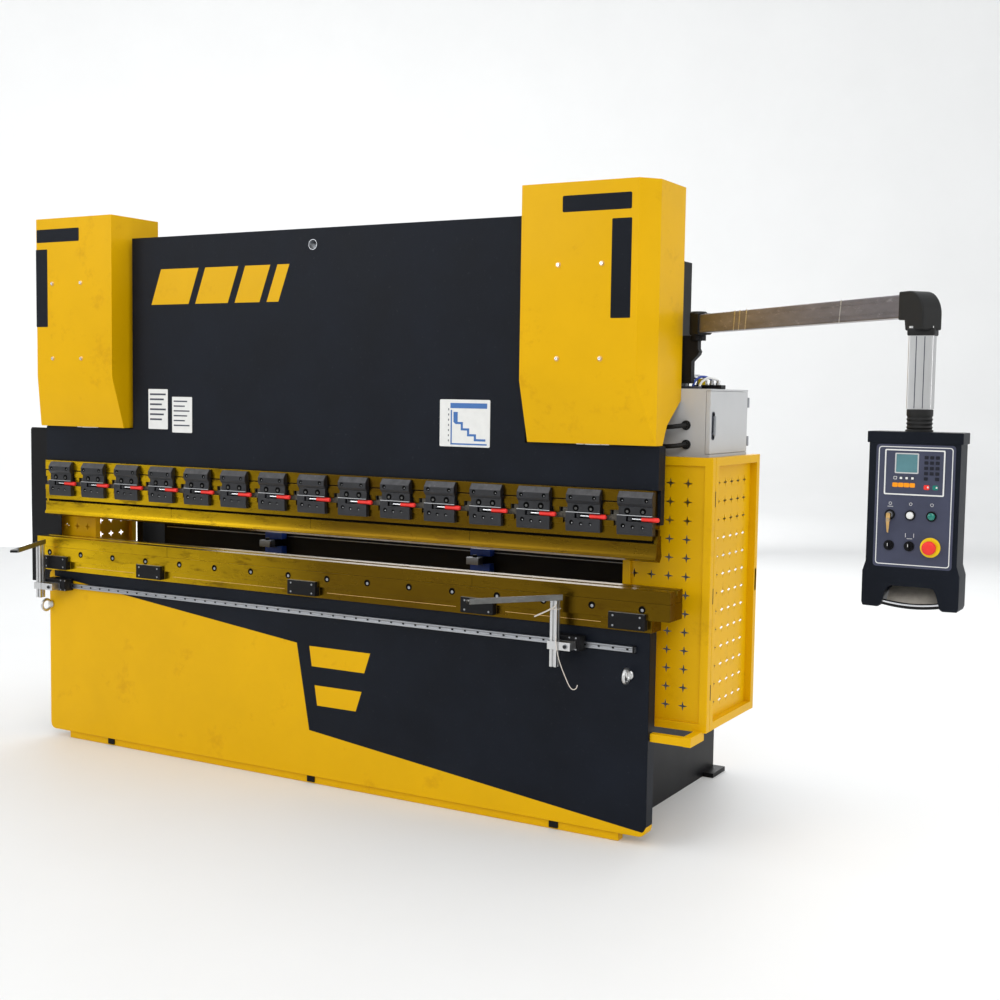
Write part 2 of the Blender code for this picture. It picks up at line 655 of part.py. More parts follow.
def conduit(name, start, mats):
    """A short hose from the cabinet's front up behind the cylinder cover, on a smooth curve."""
    x, z = start
    run_y = CAB_FRONT - 0.016
    points = [
        Vector((x, CAB_FRONT + 0.012, z)),
        Vector((x, CAB_FRONT - 0.020, z)),
        Vector((x - 0.020, CAB_FRONT - 0.042, z - 0.004)),
        Vector((x - 0.060, CAB_FRONT - 0.048, z - 0.008)),
        Vector((x - 0.110, CAB_FRONT - 0.036, z - 0.006)),
        Vector((x - 0.165, run_y, z)),
        Vector((FRAME_OUTER + 0.001, run_y, z)),
    ]
    path = smooth_path(points, 0.024)
    curve = bpy.data.curves.new(name, "CURVE")
    curve.dimensions = "3D"
    curve.bevel_depth = CONDUIT_R
    curve.bevel_resolution = 2
    curve.use_fill_caps = True
    spline = curve.splines.new("POLY")
    spline.points.add(len(path) - 1)
    for point, place_at in zip(spline.points, path, strict=True):
        point.co = (*place_at, 1.0)
    curve.materials.append(mats["black"])
    bpy.context.scene.collection.objects.link(bpy.data.objects.new(name, curve))


def smooth_path(points, step):
    """Points about a step apart on a smooth curve through the given ones."""
    path = []
    for i in range(len(points) - 1):
        before = points[max(i - 1, 0)]
        start, end = points[i], points[i + 1]
        after = points[min(i + 2, len(points) - 1)]
        count = max(2, round((end - start).length / step))
        for k in range(count):
            t = k / count
            path.append(
                0.5
                * (
                    2 * start
                    + (end - before) * t
                    + (2 * before - 5 * start + 4 * end - after) * t**2
                    + (3 * start - before - 3 * end + after) * t**3
                )
            )
    return path + [points[-1]]


def arm_bracket():
    """The bracket on the right frame that carries the pendant arm."""
    plate = box((FRAME_OUTER - 0.005, FRAME_OUTER + 0.012), (0.180, 0.290), (1.760, 1.945))
    outline = [(FRAME_OUTER - 0.004, 1.766), (1.650, 1.766), (1.650, 1.850), (1.676, 1.876)]
    outline += [(1.680, 1.888), (1.674, 1.900), (1.674, 1.928), (1.688, 1.936), (1.688, 1.9485)]
    outline += [(FRAME_OUTER - 0.004, 1.9485)]
    web = prism(outline, "Y", 0.188, 0.222)
    boss = drum("Z", PIVOT, 0.030, 1.930, 1.9495, 16)
    return [plate, web, boss]


def pendant_arm(mats):
    hub = drum("Z", PIVOT, 0.034, 1.950, 2.040, 16)
    along = (ELBOW - PIVOT).normalized()
    length = (ELBOW - PIVOT).length
    turn = Matrix.Translation((*PIVOT, 0)) @ Matrix.Rotation(atan2(along.y, along.x), 4, "Z")
    half = ARM_WIDTH / 2
    tube = turned(box((0.010, length - 0.020), (-half, half), (ARM_LOW, ARM_HIGH)), turn)
    profile = [(length - 0.055, 1.950), (length - 0.055, 2.033)]
    profile += arc((length - 0.025, 1.963), 0.070, 90, 0, 4)
    profile += [(length + 0.045, 1.922), (length - 0.040, 1.922)]
    elbow = turned(prism(profile, "Y", -0.035, 0.035), turn)
    e = ELBOW
    drop = box((e.x - 0.036, e.x + 0.036), (e.y - 0.025, e.y + 0.025), (DROP_BOTTOM, 1.940))
    arm = part("pendant_arm", mats["alu"], tube, add=[hub, elbow, drop])
    set_pivot(arm, (*PIVOT, ARM_LOW))


def pendant(mats):
    x, y, z = PEND_X, PEND_Y, PEND_Z
    body = prism(rounded(x, z, 0.006, 2), "Y", *y)
    neck = drum("Z", ELBOW, 0.038, z[1] - 0.01, DROP_BOTTOM - 0.0005, 16)
    notch_outline = [(2.612, z[0] - 0.02), (2.630, 1.130), (2.640, 1.166)]
    notch_outline += [(2.772, 1.166), (2.782, 1.130), (2.800, z[0] - 0.02)]
    notch = prism(notch_outline, "Y", y[0] - 0.02, y[1] + 0.02)
    bar = prism(
        [(2.600, 1.112), (2.660, 1.104), (2.706, 1.102), (2.752, 1.104), (2.812, 1.112)]
        + [(2.812, 1.126), (2.752, 1.118), (2.706, 1.116), (2.660, 1.118), (2.600, 1.126)],
        "Y", y[0] + 0.012, y[0] + 0.034,
    )
    controls = [(cx, ROW_HIGH) for cx in COLUMNS] + [(cx, ROW_LOW) for cx in COLUMNS]
    bosses = merged([drum("Y", c, 0.0145, y[0] - 0.004, y[0] + 0.004, 16) for c in controls])
    holes = merged([drum("Y", c, BUTTON_R + 0.0006, y[0] - 0.02, y[0] + 0.016, 12) for c in controls])
    obj = part("pendant_box", mats["dark"], body, add=[neck], cut=[notch])
    for modifier_bm, operation in ((bar, "UNION"), (bosses, "UNION"), (holes, "DIFFERENCE")):
        combine(obj, operation, modifier_bm)
    set_pivot(obj, (*ELBOW, DROP_BOTTOM))


def control(name, column, row, shape, mats, colour):
    """A pushed or turned control: a stem in its hole, plus its own head."""
    centre = (column, row)
    front = PEND_Y[0]
    if shape == "button":
        obj = part(name, mats[colour], drum("Y", centre, BUTTON_R, front - 0.0105, front + 0.008, 16))
    elif shape == "mushroom":
        stem = drum("Y", centre, BUTTON_R, front - 0.020, front + 0.006, 16)
        head = drum("Y", centre, 0.0200, front - 0.032, front - 0.014, 20)
        obj = part(name, mats[colour], stem, add=[head])
    elif shape == "key":
        stem = drum("Y", centre, BUTTON_R, front - 0.008, front + 0.008, 16)
        across = (column - 0.0013, column + 0.0013)
        key = box(across, (front - 0.034, front - 0.006), (row - 0.0075, row + 0.0075))
        obj = part(name, mats[colour], stem, add=[key])
    else:
        stem = drum("Y", centre, BUTTON_R, front - 0.009, front + 0.008, 16)
        across = (column - 0.0032, column + 0.0032)
        wing = box(across, (front - 0.020, front - 0.006), (row - 0.0100, row + 0.0100))
        obj = part(name, mats[colour], stem, add=[wing])
    set_pivot(obj, (column, front, row))


def pendant_controls(mats):
    control("key_switch", COLUMNS[0], ROW_HIGH, "key", mats, "steel")
    control("white_button", COLUMNS[1], ROW_HIGH, "button", mats, "white")
    control("green_button", COLUMNS[2], ROW_HIGH, "button", mats, "green")
    control("left_selector", COLUMNS[0], ROW_LOW, "selector", mats, "black")
    control("middle_selector", COLUMNS[1], ROW_LOW, "selector", mats, "black")
    control("stop_button", COLUMNS[2], ROW_LOW, "mushroom", mats, "red")


def sync_shaft(mats):
    ends = FRAME_INNER - 0.001
    bar = drum("X", (SHAFT_Y, SHAFT_Z), SHAFT_R, -ends, ends, 16)
    tip_y = SHAFT_Y - SHAFT_LEVER
    levers = []
    for x in (-1.000, 1.000):
        outline = [(SHAFT_Y, SHAFT_Z + 0.030), (tip_y, SHAFT_Z + 0.015)]
        outline += [(tip_y, SHAFT_Z - 0.015), (SHAFT_Y, SHAFT_Z - 0.030)]
        levers.append(prism(outline, "X", x - 0.015, x + 0.015))
    shaft = part("sync_shaft", mats["steel"], bar, add=[merged(levers)])
    set_pivot(shaft, (0.0, SHAFT_Y, SHAFT_Z))


def back_gauge(mats):
    beam = box((-GAUGE_HALF, GAUGE_HALF), GAUGE_Y, GAUGE_Z)
    runners = [box(signed(s, 1.240, 1.370), (0.470, 0.550), (0.8606, 0.895)) for s in (-1, 1)]
    fingers = [box((x - 0.030, x + 0.030), (0.330, 0.450), (0.975, 1.005)) for x in (-0.55, 0.60)]
    fingers_and_runners = merged(runners + fingers)
    gauge = part("back_gauge", mats["black"], beam, add=[fingers_and_runners])
    set_pivot(gauge, (0.0, sum(GAUGE_Y) / 2, GAUGE_Z[0]))


def materials():
    return {
        "yellow": paint("yellow_paint", (0.80, 0.47, 0.01), 0.45),
        "dark": paint("dark_paint", (0.018, 0.022, 0.030), 0.55),
        "black": paint("black_finish", (0.012, 0.012, 0.013), 0.45),
        "brass": paint("passivated_steel", (0.45, 0.33, 0.07), 0.35, 0.9),
        "steel": paint("ground_steel", (0.55, 0.56, 0.57), 0.30, 1.0),
        "chrome": paint("chrome", (0.80, 0.80, 0.82), 0.10, 1.0),
        "alu": paint("aluminium", (0.62, 0.60, 0.58), 0.35, 1.0),
        "grey": paint("grey_paint", (0.50, 0.50, 0.50), 0.50),
        "red": paint("red_plastic", (0.75, 0.04, 0.03), 0.35),
        "green": paint("green_plastic", (0.00, 0.28, 0.14), 0.30),
        "white": paint("white_plastic", (0.80, 0.80, 0.78), 0.30),
    }


def main():
    clear_scene()
    mats = materials()
    bed(mats)
    rear_structure(mats)
    for word, side in (("left", -1), ("right", 1)):
        side_frame(f"{word}_side_frame", side, mats)
        cylinder(f"{word}_cylinder", side, mats)
        piston_rod(f"{word}_piston_rod", side, mats)
        cylinder_cover(f"{word}_cylinder_cover", side, mats)
        front_support(word, mats)
        ring_bolt(f"{word}_ring_bolt", *EYES[word], mats)
    ram(mats)
    clamp_holder(mats)
    clamp_levers(mats)
    punch(mats)
    lower_tooling(mats)
    support_rail(mats)
    right_guard(mats)
    left_guard(mats)
    cabinet(mats)
    for word, start in zip(("upper", "lower"), CONDUIT_EXITS, strict=True):
        conduit(f"{word}_conduit", start, mats)
    pendant_arm(mats)
    pendant(mats)
    pendant_controls(mats)
    sync_shaft(mats)
    back_gauge(mats)


main()
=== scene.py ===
import json
from math import atan2, cos, pi, radians, sin

import bmesh
import bpy
from mathutils import Matrix, Vector

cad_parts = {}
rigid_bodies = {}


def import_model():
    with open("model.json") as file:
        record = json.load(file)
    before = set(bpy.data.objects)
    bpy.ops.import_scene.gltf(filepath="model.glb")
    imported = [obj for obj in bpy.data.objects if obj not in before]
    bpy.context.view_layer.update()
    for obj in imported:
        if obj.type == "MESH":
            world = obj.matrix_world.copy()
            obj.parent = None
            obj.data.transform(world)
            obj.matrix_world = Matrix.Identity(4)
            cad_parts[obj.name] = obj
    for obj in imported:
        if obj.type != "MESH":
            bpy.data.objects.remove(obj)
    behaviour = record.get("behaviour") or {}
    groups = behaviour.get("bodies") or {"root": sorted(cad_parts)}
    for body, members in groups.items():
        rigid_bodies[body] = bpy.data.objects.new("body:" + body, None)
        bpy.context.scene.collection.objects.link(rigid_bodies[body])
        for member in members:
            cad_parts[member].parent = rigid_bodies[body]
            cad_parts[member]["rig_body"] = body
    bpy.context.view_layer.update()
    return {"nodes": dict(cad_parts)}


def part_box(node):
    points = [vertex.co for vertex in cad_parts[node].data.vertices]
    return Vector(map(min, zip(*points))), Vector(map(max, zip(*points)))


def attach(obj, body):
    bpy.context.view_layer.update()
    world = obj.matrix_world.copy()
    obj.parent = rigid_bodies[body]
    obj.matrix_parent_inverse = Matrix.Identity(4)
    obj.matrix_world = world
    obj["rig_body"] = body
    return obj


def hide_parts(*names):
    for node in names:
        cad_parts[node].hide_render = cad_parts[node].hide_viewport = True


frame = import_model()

NODES = frame["nodes"]

# ---------------------------------------------------------------- shapes


def at(axis, p, t):
    """The place t along an axis, with p the other two coordinates in order."""
    return {"X": (t, *p), "Y": (p[0], t, p[1]), "Z": (*p, t)}[axis]


def skin(rows, around=False):
    """A closed surface through rows of points; around joins the last row to the first."""
    bm = bmesh.new()
    loops = [[bm.verts.new(place) for place in row] for row in rows]
    count = len(loops[0])
    following = loops[1:] + loops[:1] if around else loops[1:]
    for one, two in zip(loops, following):
        for i in range(count):
            j = (i + 1) % count
            bm.faces.new((one[i], one[j], two[j], two[i]))
    if not around:
        bm.faces.new(loops[0])
        bm.faces.new(loops[-1])
    bmesh.ops.recalc_face_normals(bm, faces=bm.faces)
    return bm


def prism(outline, axis, low, high):
    """A closed prism from an outline across an axis: (y, z), (x, z) or (x, y) pairs."""
    return skin([[at(axis, p, t) for p in outline] for t in (low, high)])


def span(middle, half):
    """The two ends of a stretch, half to each side of its middle."""
    return (middle - half, middle + half)


def box(x, y, z):
    return prism([(x[0], y[0]), (x[1], y[0]), (x[1], y[1]), (x[0], y[1])], "Z", *z)


def circle(centre, radius, count, start=0.0):
    turns = (start + 2 * pi * i / count for i in range(count))
    return [(centre[0] + radius * cos(a), centre[1] + radius * sin(a)) for a in turns]


def drum(axis, centre, radius, low, high, count=24):
    return prism(circle(centre, radius, count), axis, low, high)


def arc(centre, radius, start, stop, count):
    steps = (radians(start + (stop - start) * i / count) for i in range(count + 1))
    return [(centre[0] + radius * cos(a), centre[1] + radius * sin(a)) for a in steps]


def rounded(x, z, radius, count=4):
    return (
        arc((x[1] - radius, z[1] - radius), radius, 0, 90, count)
        + arc((x[0] + radius, z[1] - radius), radius, 90, 180, count)
        + arc((x[0] + radius, z[0] + radius), radius, 180, 270, count)
        + arc((x[1] - radius, z[0] + radius), radius, 270, 360, count)
    )


def lathe(axis, centre, profile, count=24):
    """A turned shape: profile is (radius, place along the axis) from one end to the other."""
    return skin([[at(axis, p, t) for p in circle(centre, max(radius, 1e-5), count)]
                 for radius, t in profile])


def barrel(axis, centre, radius, low, length, drop, count, lip=0.002):
    """A cylinder whose ends step in by drop over a short lip."""
    inner, high = radius - drop, low + length
    profile = [(inner, low), (radius, low + lip), (radius, high - lip), (inner, high)]
    return lathe(axis, centre, profile, count)


def ring(outer, inner, axis, low, high):
    """A frame between two outlines of the same number of points."""
    rows = ((outer, low), (outer, high), (inner, high), (inner, low))
    return skin([[at(axis, p, t) for p in line] for line, t in rows], around=True)


def collar(centre, radius, width, axis, low, high, count=20):
    """A flat ring with the given outer radius and width."""
    return ring(circle(centre, radius, count), circle(centre, radius - width, count), axis, low, high)


def plate(x, z, radius, low, high, count=4):
    """A plate across Y with rounded corners."""
    return prism(rounded(x, z, radius, count), "Y", low, high)


def socket_head(x, y, z, radius, height=0.004, recess=0.6):
    """A hexagon socket head that faces -Y."""
    count = 18
    hexagon = []
    for i in range(count):
        a = 2 * pi * i / count
        wedge = (a % (pi / 3)) - pi / 6
        r = recess * radius * cos(pi / 6) / cos(wedge)
        hexagon.append((x + r * cos(a), z + r * sin(a)))
    rim = circle((x, z), radius * 0.93, count)
    wall = circle((x, z), radius, count)
    rows = ((wall, y), (wall, y - height * 0.8), (rim, y - height), (hexagon, y - height),
            (hexagon, y - height * 0.35))
    return skin([[at("Y", p, t) for p in line] for line, t in rows])


def tube(points, radius, count=10):
    """A round tube along points, on a smooth curve."""
    path = []
    for i in range(len(points) - 1):
        before, start = points[max(i - 1, 0)], points[i]
        end, after = points[i + 1], points[min(i + 2, len(points) - 1)]
        before, start, end, after = (Vector(p) for p in (before, start, end, after))
        steps = 6
        for k in range(steps):
            t = k / steps
            path.append(0.5 * (2 * start + (end - before) * t
                               + (2 * before - 5 * start + 4 * end - after) * t**2
                               + (3 * start - before - 3 * end + after) * t**3))
    path.append(Vector(points[-1]))
    up = Vector((0.1, 0.2, 1.0)).normalized()
    rows = []
    for i, place in enumerate(path):
        along = (path[min(i + 1, len(path) - 1)] - path[max(i - 1, 0)]).normalized()
        side = along.cross(up)
        if side.length < 1e-3:
            side = along.cross(Vector((1, 0, 0)))
        side.normalize()
        up = side.cross(along).normalized()
        rows.append([place + u * side + v * up for u, v in circle((0, 0), radius, count)])
    return skin(rows)


def turned(bm, matrix):
    bmesh.ops.transform(bm, matrix=matrix, verts=bm.verts)
    return bm


def soft_edges(bm, width, segments=2, limit=28.0):
    """Rounds every edge that turns by more than the limit."""
    sharp = [e for e in bm.edges if e.is_manifold and e.calc_face_angle(0.0) > radians(limit)]
    if sharp and width > 0:
        bmesh.ops.bevel(bm, geom=sharp, offset=width, segments=segments, profile=0.6,
                        affect="EDGES", clamp_overlap=True)
    return bm


# ---------------------------------------------------------------- materials


def surface(name, colour, rough, metal=0.0, tone=0.1, scale=2.5, stretch=(1, 1, 1),
            grain=260.0, bump=0.04, vary=0.08, coat=0.0, wear=None, depth=0.0006, spec=0.5, shade_ramp=None):
    """A procedural finish: broad tone, fine grain in colour, roughness and bump, optional scuffs, and an
    optional painted shade that darkens the colour along X.
    """
    material = bpy.data.materials.new(name)
    material.use_nodes = True
    tree = material.node_tree
    shader = tree.nodes["Principled BSDF"]

    def add(kind, **values):
        made = tree.nodes.new("ShaderNode" + kind)
        for socket, value in values.items():
            made.inputs[socket.replace("_", " ")].default_value = value
        return made

    def ramp(noise, low, high, start, end):
        made = add("ValToRGB")
        first, last = made.color_ramp.elements
        first.position, last.position = low, high
        first.color, last.color = (*start, 1), (*end, 1)
        tree.links.new(noise.outputs["Fac"], made.inputs["Fac"])
        return made.outputs["Color"]

    def blend(base, factor, other):
        made = add("Mix")
        made.data_type = "RGBA"
        made.inputs["B"].default_value = (*other, 1)
        tree.links.new(factor, made.inputs["Factor"])
        tree.links.new(base, made.inputs["A"])
        return made.outputs["Result"]

    for socket, value in (("Metallic", metal), ("Specular IOR Level", spec), ("Coat Weight", coat),
                          ("Coat Roughness", 0.12)):
        shader.inputs[socket].default_value = value
    place = add("TexCoord")
    shift = add("Mapping", Scale=stretch)
    tree.links.new(place.outputs["Object"], shift.inputs["Vector"])
    broad = add("TexNoise", Scale=scale, Detail=6.0, Roughness=0.62)
    fine = add("TexNoise", Scale=grain, Detail=3.0)
    noises = [broad, fine]
    dim = [c * (1 - tone) for c in colour]
    lit = [min(c * (1 + tone), 1.0) for c in colour]
    result = ramp(broad, 0.3, 0.72, dim, lit)
    # Painted shade: mixes the colour towards a darker tint between two X places.
    if shade_ramp:
        shade_tint, start, end, amount = shade_ramp
        split = add("SeparateXYZ")
        across = add("MapRange", From_Min=start, From_Max=end, To_Max=amount)
        tree.links.new(place.outputs["Object"], split.inputs["Vector"])
        tree.links.new(split.outputs["X"], across.inputs["Value"])
        result = blend(result, across.outputs["Result"], shade_tint)
    if wear:
        worn, size, threshold, amount = wear
        marks = add("TexNoise", Scale=size, Detail=8.0, Roughness=0.75)
        noises.append(marks)
        mask = ramp(marks, threshold, min(threshold + 0.1, 0.99), (0, 0, 0), (amount,) * 3)
        result = blend(result, mask, worn)
    for noise in noises:
        tree.links.new(shift.outputs["Vector"], noise.inputs["Vector"])
    spread = add("MapRange", To_Min=max(rough - vary, 0.02), To_Max=rough + vary)
    relief = add("Bump", Strength=bump, Distance=depth)
    for source, sink in ((broad.outputs["Fac"], spread.inputs["Value"]),
                         (fine.outputs["Fac"], relief.inputs["Height"]),
                         (result, shader.inputs["Base Color"]),
                         (spread.outputs["Result"], shader.inputs["Roughness"]),
                         (relief.outputs["Normal"], shader.inputs["Normal"])):
        tree.links.new(source, sink)
    return material


YELLOW = surface("yellow_paint", (0.7, 0.388, 0.0005), 0.38, tone=0.07, scale=1.3, grain=420, bump=0.1,
                 coat=0.03, spec=0.1, wear=((0.52, 0.26, 0.001), 5.0, 0.58, 0.45))
DARK = surface("blue_black_paint", (0.0055, 0.0075, 0.0125), 0.44, tone=0.3, scale=2.2, grain=300, bump=0.3,
               vary=0.1, spec=0.11, wear=((0.03, 0.034, 0.042), 70.0, 0.6, 0.55))
BLACK = surface("black_paint", (0.005, 0.005, 0.006), 0.44, tone=0.3, grain=340, bump=0.15, vary=0.1,
                spec=0.14, wear=((0.03, 0.03, 0.033), 14.0, 0.66, 0.4))
OXIDE = surface("black_oxide_steel", (0.0085, 0.009, 0.012), 0.36, tone=0.35, scale=24, grain=500,
                bump=0.15, vary=0.12, spec=0.42, wear=((0.07, 0.07, 0.075), 30.0, 0.62, 0.5))
# Lighter oxide for the clamps' upper chamfers: painted highlight where they face up to the light, with
# scattered wear spots.
OXIDE_HIGHLIGHT_AND_WEAR = surface("oxide_steel_highlight_and_wear", (0.055, 0.055, 0.06), 0.4, tone=0.4, scale=40, grain=400, bump=0.3,
                     vary=0.12, wear=((0.16, 0.16, 0.16), 50.0, 0.58, 0.6))
# The passivated steel darkens to brown towards +X: painted shade.
GOLD = surface("passivated_steel", (0.6, 0.375, 0.006), 0.27, metal=1.0, tone=0.3, scale=1.7,
               stretch=(0.8, 3, 3), grain=120, bump=0.05, vary=0.1,
               shade_ramp=((0.06, 0.03, 0.004), -1.3, 0.1, 0.9), wear=((0.075, 0.036, 0.004), 6.0, 0.55, 0.6))
ROUGH_GOLD = surface("cast_recess", (0.085, 0.078, 0.062), 0.6, metal=0.5, tone=0.55, scale=120,
                     grain=300, bump=0.9, vary=0.15, depth=0.002)
STEEL = surface("ground_steel", (0.34, 0.35, 0.37), 0.32, metal=1.0, tone=0.12, scale=5,
                stretch=(0.5, 5, 5), grain=160, bump=0.05, vary=0.06)
BRIGHT = surface("bright_steel", (0.72, 0.73, 0.75), 0.22, metal=1.0, tone=0.08, scale=9, grain=260,
                 bump=0.03, vary=0.05)
DULL = surface("dull_steel", (0.15, 0.15, 0.145), 0.36, metal=0.9, tone=0.3, scale=14, stretch=(1, 1, 4),
               grain=260, bump=0.12, vary=0.08, wear=((0.34, 0.34, 0.33), 26.0, 0.58, 0.6))
CHROME = surface("hard_chrome", (0.78, 0.78, 0.8), 0.12, metal=1.0, tone=0.05, scale=8, grain=300,
                 bump=0.01, vary=0.03)
ALU = surface("aluminium", (0.6, 0.6, 0.6), 0.34, metal=1.0, tone=0.1, scale=7, stretch=(1, 1, 0.2),
              grain=240, bump=0.06, vary=0.08)
BRONZE_ALU = surface("wrapped_aluminium", (0.2, 0.185, 0.195), 0.32, metal=0.7, tone=0.22, scale=2.6,
                     stretch=(3, 3, 9), grain=200, bump=0.05, vary=0.1,
                     wear=((0.42, 0.41, 0.42), 7.0, 0.57, 0.5))
GREY = surface("grey_powder_coat", (0.5, 0.505, 0.51), 0.5, tone=0.05, scale=4, grain=420, bump=0.35,
               vary=0.06, spec=0.3, wear=((0.38, 0.38, 0.37), 8.0, 0.66, 0.4))
MOTOR = surface("motor_enamel", (0.05, 0.09, 0.13), 0.42, tone=0.14, scale=8, grain=240, bump=0.4)
RUBBER = surface("black_rubber", (0.007, 0.007, 0.007), 0.58, tone=0.2, scale=20, grain=320, bump=0.35,
                 spec=0.3)
HOLE = surface("dark_recess", (0.0015, 0.0015, 0.0015), 0.8, tone=0.2, scale=30, grain=200, bump=0.1,
               spec=0.05)
RED = surface("red_sleeve", (0.78, 0.03, 0.022), 0.42, tone=0.1, scale=40, grain=380, bump=0.25, spec=0.35)
GREEN = surface("green_lens", (0.0, 0.17, 0.13), 0.22, tone=0.12, scale=60, grain=300, bump=0.04, coat=0.4)
WHITE = surface("white_plastic", (0.72, 0.72, 0.7), 0.36, tone=0.04, scale=30, grain=380, bump=0.12)
SIGNAL = surface("signal_yellow", (0.82, 0.57, 0.005), 0.36, tone=0.06, scale=30, grain=320, bump=0.1,
                 spec=0.3)
ORANGE = surface("orange_key", (0.88, 0.3, 0.005), 0.4, tone=0.08, scale=60, grain=320, bump=0.12, spec=0.3)
FOIL = surface("panel_foil", (0.045, 0.05, 0.085), 0.4, tone=0.12, scale=12, grain=420, bump=0.18, spec=0.3)
SCREEN = surface("display_glass", (0.075, 0.2, 0.225), 0.16, tone=0.14, scale=10, grain=200, bump=0.01,
                 coat=0.5)
BLUE = surface("blue_housing", (0.01, 0.05, 0.34), 0.36, tone=0.12, scale=30, grain=320, bump=0.1)
PLATE_BLUE = surface("chart_blue", (0.03, 0.13, 0.38), 0.4, tone=0.06, scale=30, grain=320, bump=0.03)
BRASS = surface("brass", (0.7, 0.44, 0.17), 0.3, metal=1.0, tone=0.15, scale=50, grain=300, bump=0.1)
FOIL_KEY = surface("dark_key", (0.011, 0.012, 0.02), 0.5, tone=0.2, scale=60, grain=320, bump=0.1, spec=0.2)
GREY_KEY = surface("grey_key", (0.05, 0.054, 0.075), 0.45, tone=0.15, scale=60, grain=320, bump=0.1,
                   spec=0.3)
GRIP = surface("grip_plate", (0.36, 0.33, 0.29), 0.5, metal=0.2, tone=0.18, scale=40, grain=260, bump=0.4)
CLEAR = surface("clear_sleeve", (0.62, 0.64, 0.66), 0.25, tone=0.1, scale=30, grain=300, bump=0.05,
                coat=0.3)
TIE = surface("nylon_tie", (0.66, 0.6, 0.53), 0.42, tone=0.08, scale=50, grain=320, bump=0.1)

# ---------------------------------------------------------------- pieces


def emit(name, body, material, shapes, width=0.0, segments=2, slot=None, replaces=(), node=None):
    """Joins shapes into one piece that rides on a body; with a node it stands in for that node."""
    if node:
        slot, replaces = node, [node]
    whole = bmesh.new()
    for shape in shapes:
        soft_edges(shape, width, segments)
        mesh = bpy.data.meshes.new("shape")
        shape.to_mesh(mesh)
        shape.free()
        whole.from_mesh(mesh)
        bpy.data.meshes.remove(mesh)
    return finish_piece(name, body, material, whole, replaces)


def finish_piece(name, body, material, bm, replaces=()):
    mesh = bpy.data.meshes.new(name)
    bm.to_mesh(mesh)
    bm.free()
    for polygon in mesh.polygons:
        polygon.use_smooth = True
    mesh.set_sharp_from_angle(angle=radians(48))
    mesh.materials.append(material)
    obj = bpy.data.objects.new(name, mesh)
    bpy.context.scene.collection.objects.link(obj)
    normals = obj.modifiers.new("Normals", "WEIGHTED_NORMAL")
    normals.keep_sharp = True
    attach(obj, body)
    if replaces:
        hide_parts(*replaces)
    return obj


def soften(node, material, width, segments=2):
    """A CAD node with its edges rounded as on the real part."""
    source = NODES[node]
    bm = bmesh.new()
    bm.from_mesh(source.data)
    bmesh.ops.remove_doubles(bm, verts=bm.verts, dist=2e-5)
    bmesh.ops.dissolve_limit(bm, angle_limit=radians(0.6), verts=bm.verts, edges=bm.edges)
    soft_edges(bm, width, segments, 32.0)
    return finish_piece(f"{node}_finished", source["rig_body"], material, bm, [node])


def keep(node, material):
    """A CAD node shown as it is, with a better finish."""
    mesh = NODES[node].data
    for i in range(len(mesh.materials)):
        mesh.materials[i] = material


# ---------------------------------------------------------------- frame and covers

BED_FRONT = -0.03
COVER_FRONT = -0.129
CYLINDER_X, CYLINDER_Y = 1.34, 0.005


def bed():
    soften("bed_plate", YELLOW, 0.003)
    front = BED_FRONT - 0.0004
    dark = [(-1.565, 0.8255), (-1.565, 0.7957), (-1.092, 0.739), (-0.073, 0.617), (-0.003, 0.238),
            (1.585, 0.054)]
    dark += [(1.5935, 0.062), (1.6003, 0.075), (1.6003, 0.8255)]
    field = prism(dark[::-1], "Y", front, -0.0296)
    end = box((1.5996, 1.6003), (front, 0.0298), (0.075, 0.8255))
    emit("bed_dark_field", "frame", DARK, [field, end], slot="ram_plate")
    bars = []
    rise = 0.088
    for low, start, stop in ((0.522, 0.01, 0.318), (0.352, 0.04, 0.275)):
        slant = [(start, low), (stop - 0.03, low), (stop, low + rise), (start - 0.014, low + rise)]
        bars.append(prism(slant[::-1], "Y", front - 0.0005, front + 0.0002))
    emit("bed_stripes", "frame", YELLOW, bars, slot="bed_plate")
    wedges = [box(span(x, 0.02), (-0.024, -0.0175), (0.006, 0.032)) for x in (-1.2, 0.0, 1.2)]
    emit("plinth_wedges", "frame", BLACK, wedges, 0.002)


# along x: the upper field, the lower bar, and the two columns of screws
COVER_MARKS = {
    "left": ((-1.557, -1.278), (-1.563, -1.487), (-1.455, -1.268)),
    "right": ((1.247, 1.531), (1.453, 1.533), (1.233, 1.414)),
}


def cover_marks(word):
    """Dark fields and screws on a cylinder cover's front."""
    field, bar, screws = COVER_MARKS[word]
    shapes = [
        plate(field, (2.396, 2.457), 0.006, COVER_FRONT - 0.0004, COVER_FRONT + 0.0005),
        plate(bar, (2.000, 2.364), 0.004, COVER_FRONT - 0.0004, COVER_FRONT + 0.0005),
    ]
    emit(f"{word}_cover_fields", "frame", DARK, shapes, slot="ram_plate")
    heads, washers = [], []
    profile = [(0.0105, -0.1288), (0.0105, -0.1304), (0.0095, -0.131), (0.006, -0.131)]
    for x in screws:
        for z in (2.202, 1.851):
            washers.append(lathe("Y", (x, z), profile))
            heads.append(socket_head(x, -0.1308, z, 0.0066, 0.0045, 0.5))
    emit(f"{word}_cover_washers", "frame", BRASS, washers)
    emit(f"{word}_cover_screws", "frame", BRIGHT, heads)


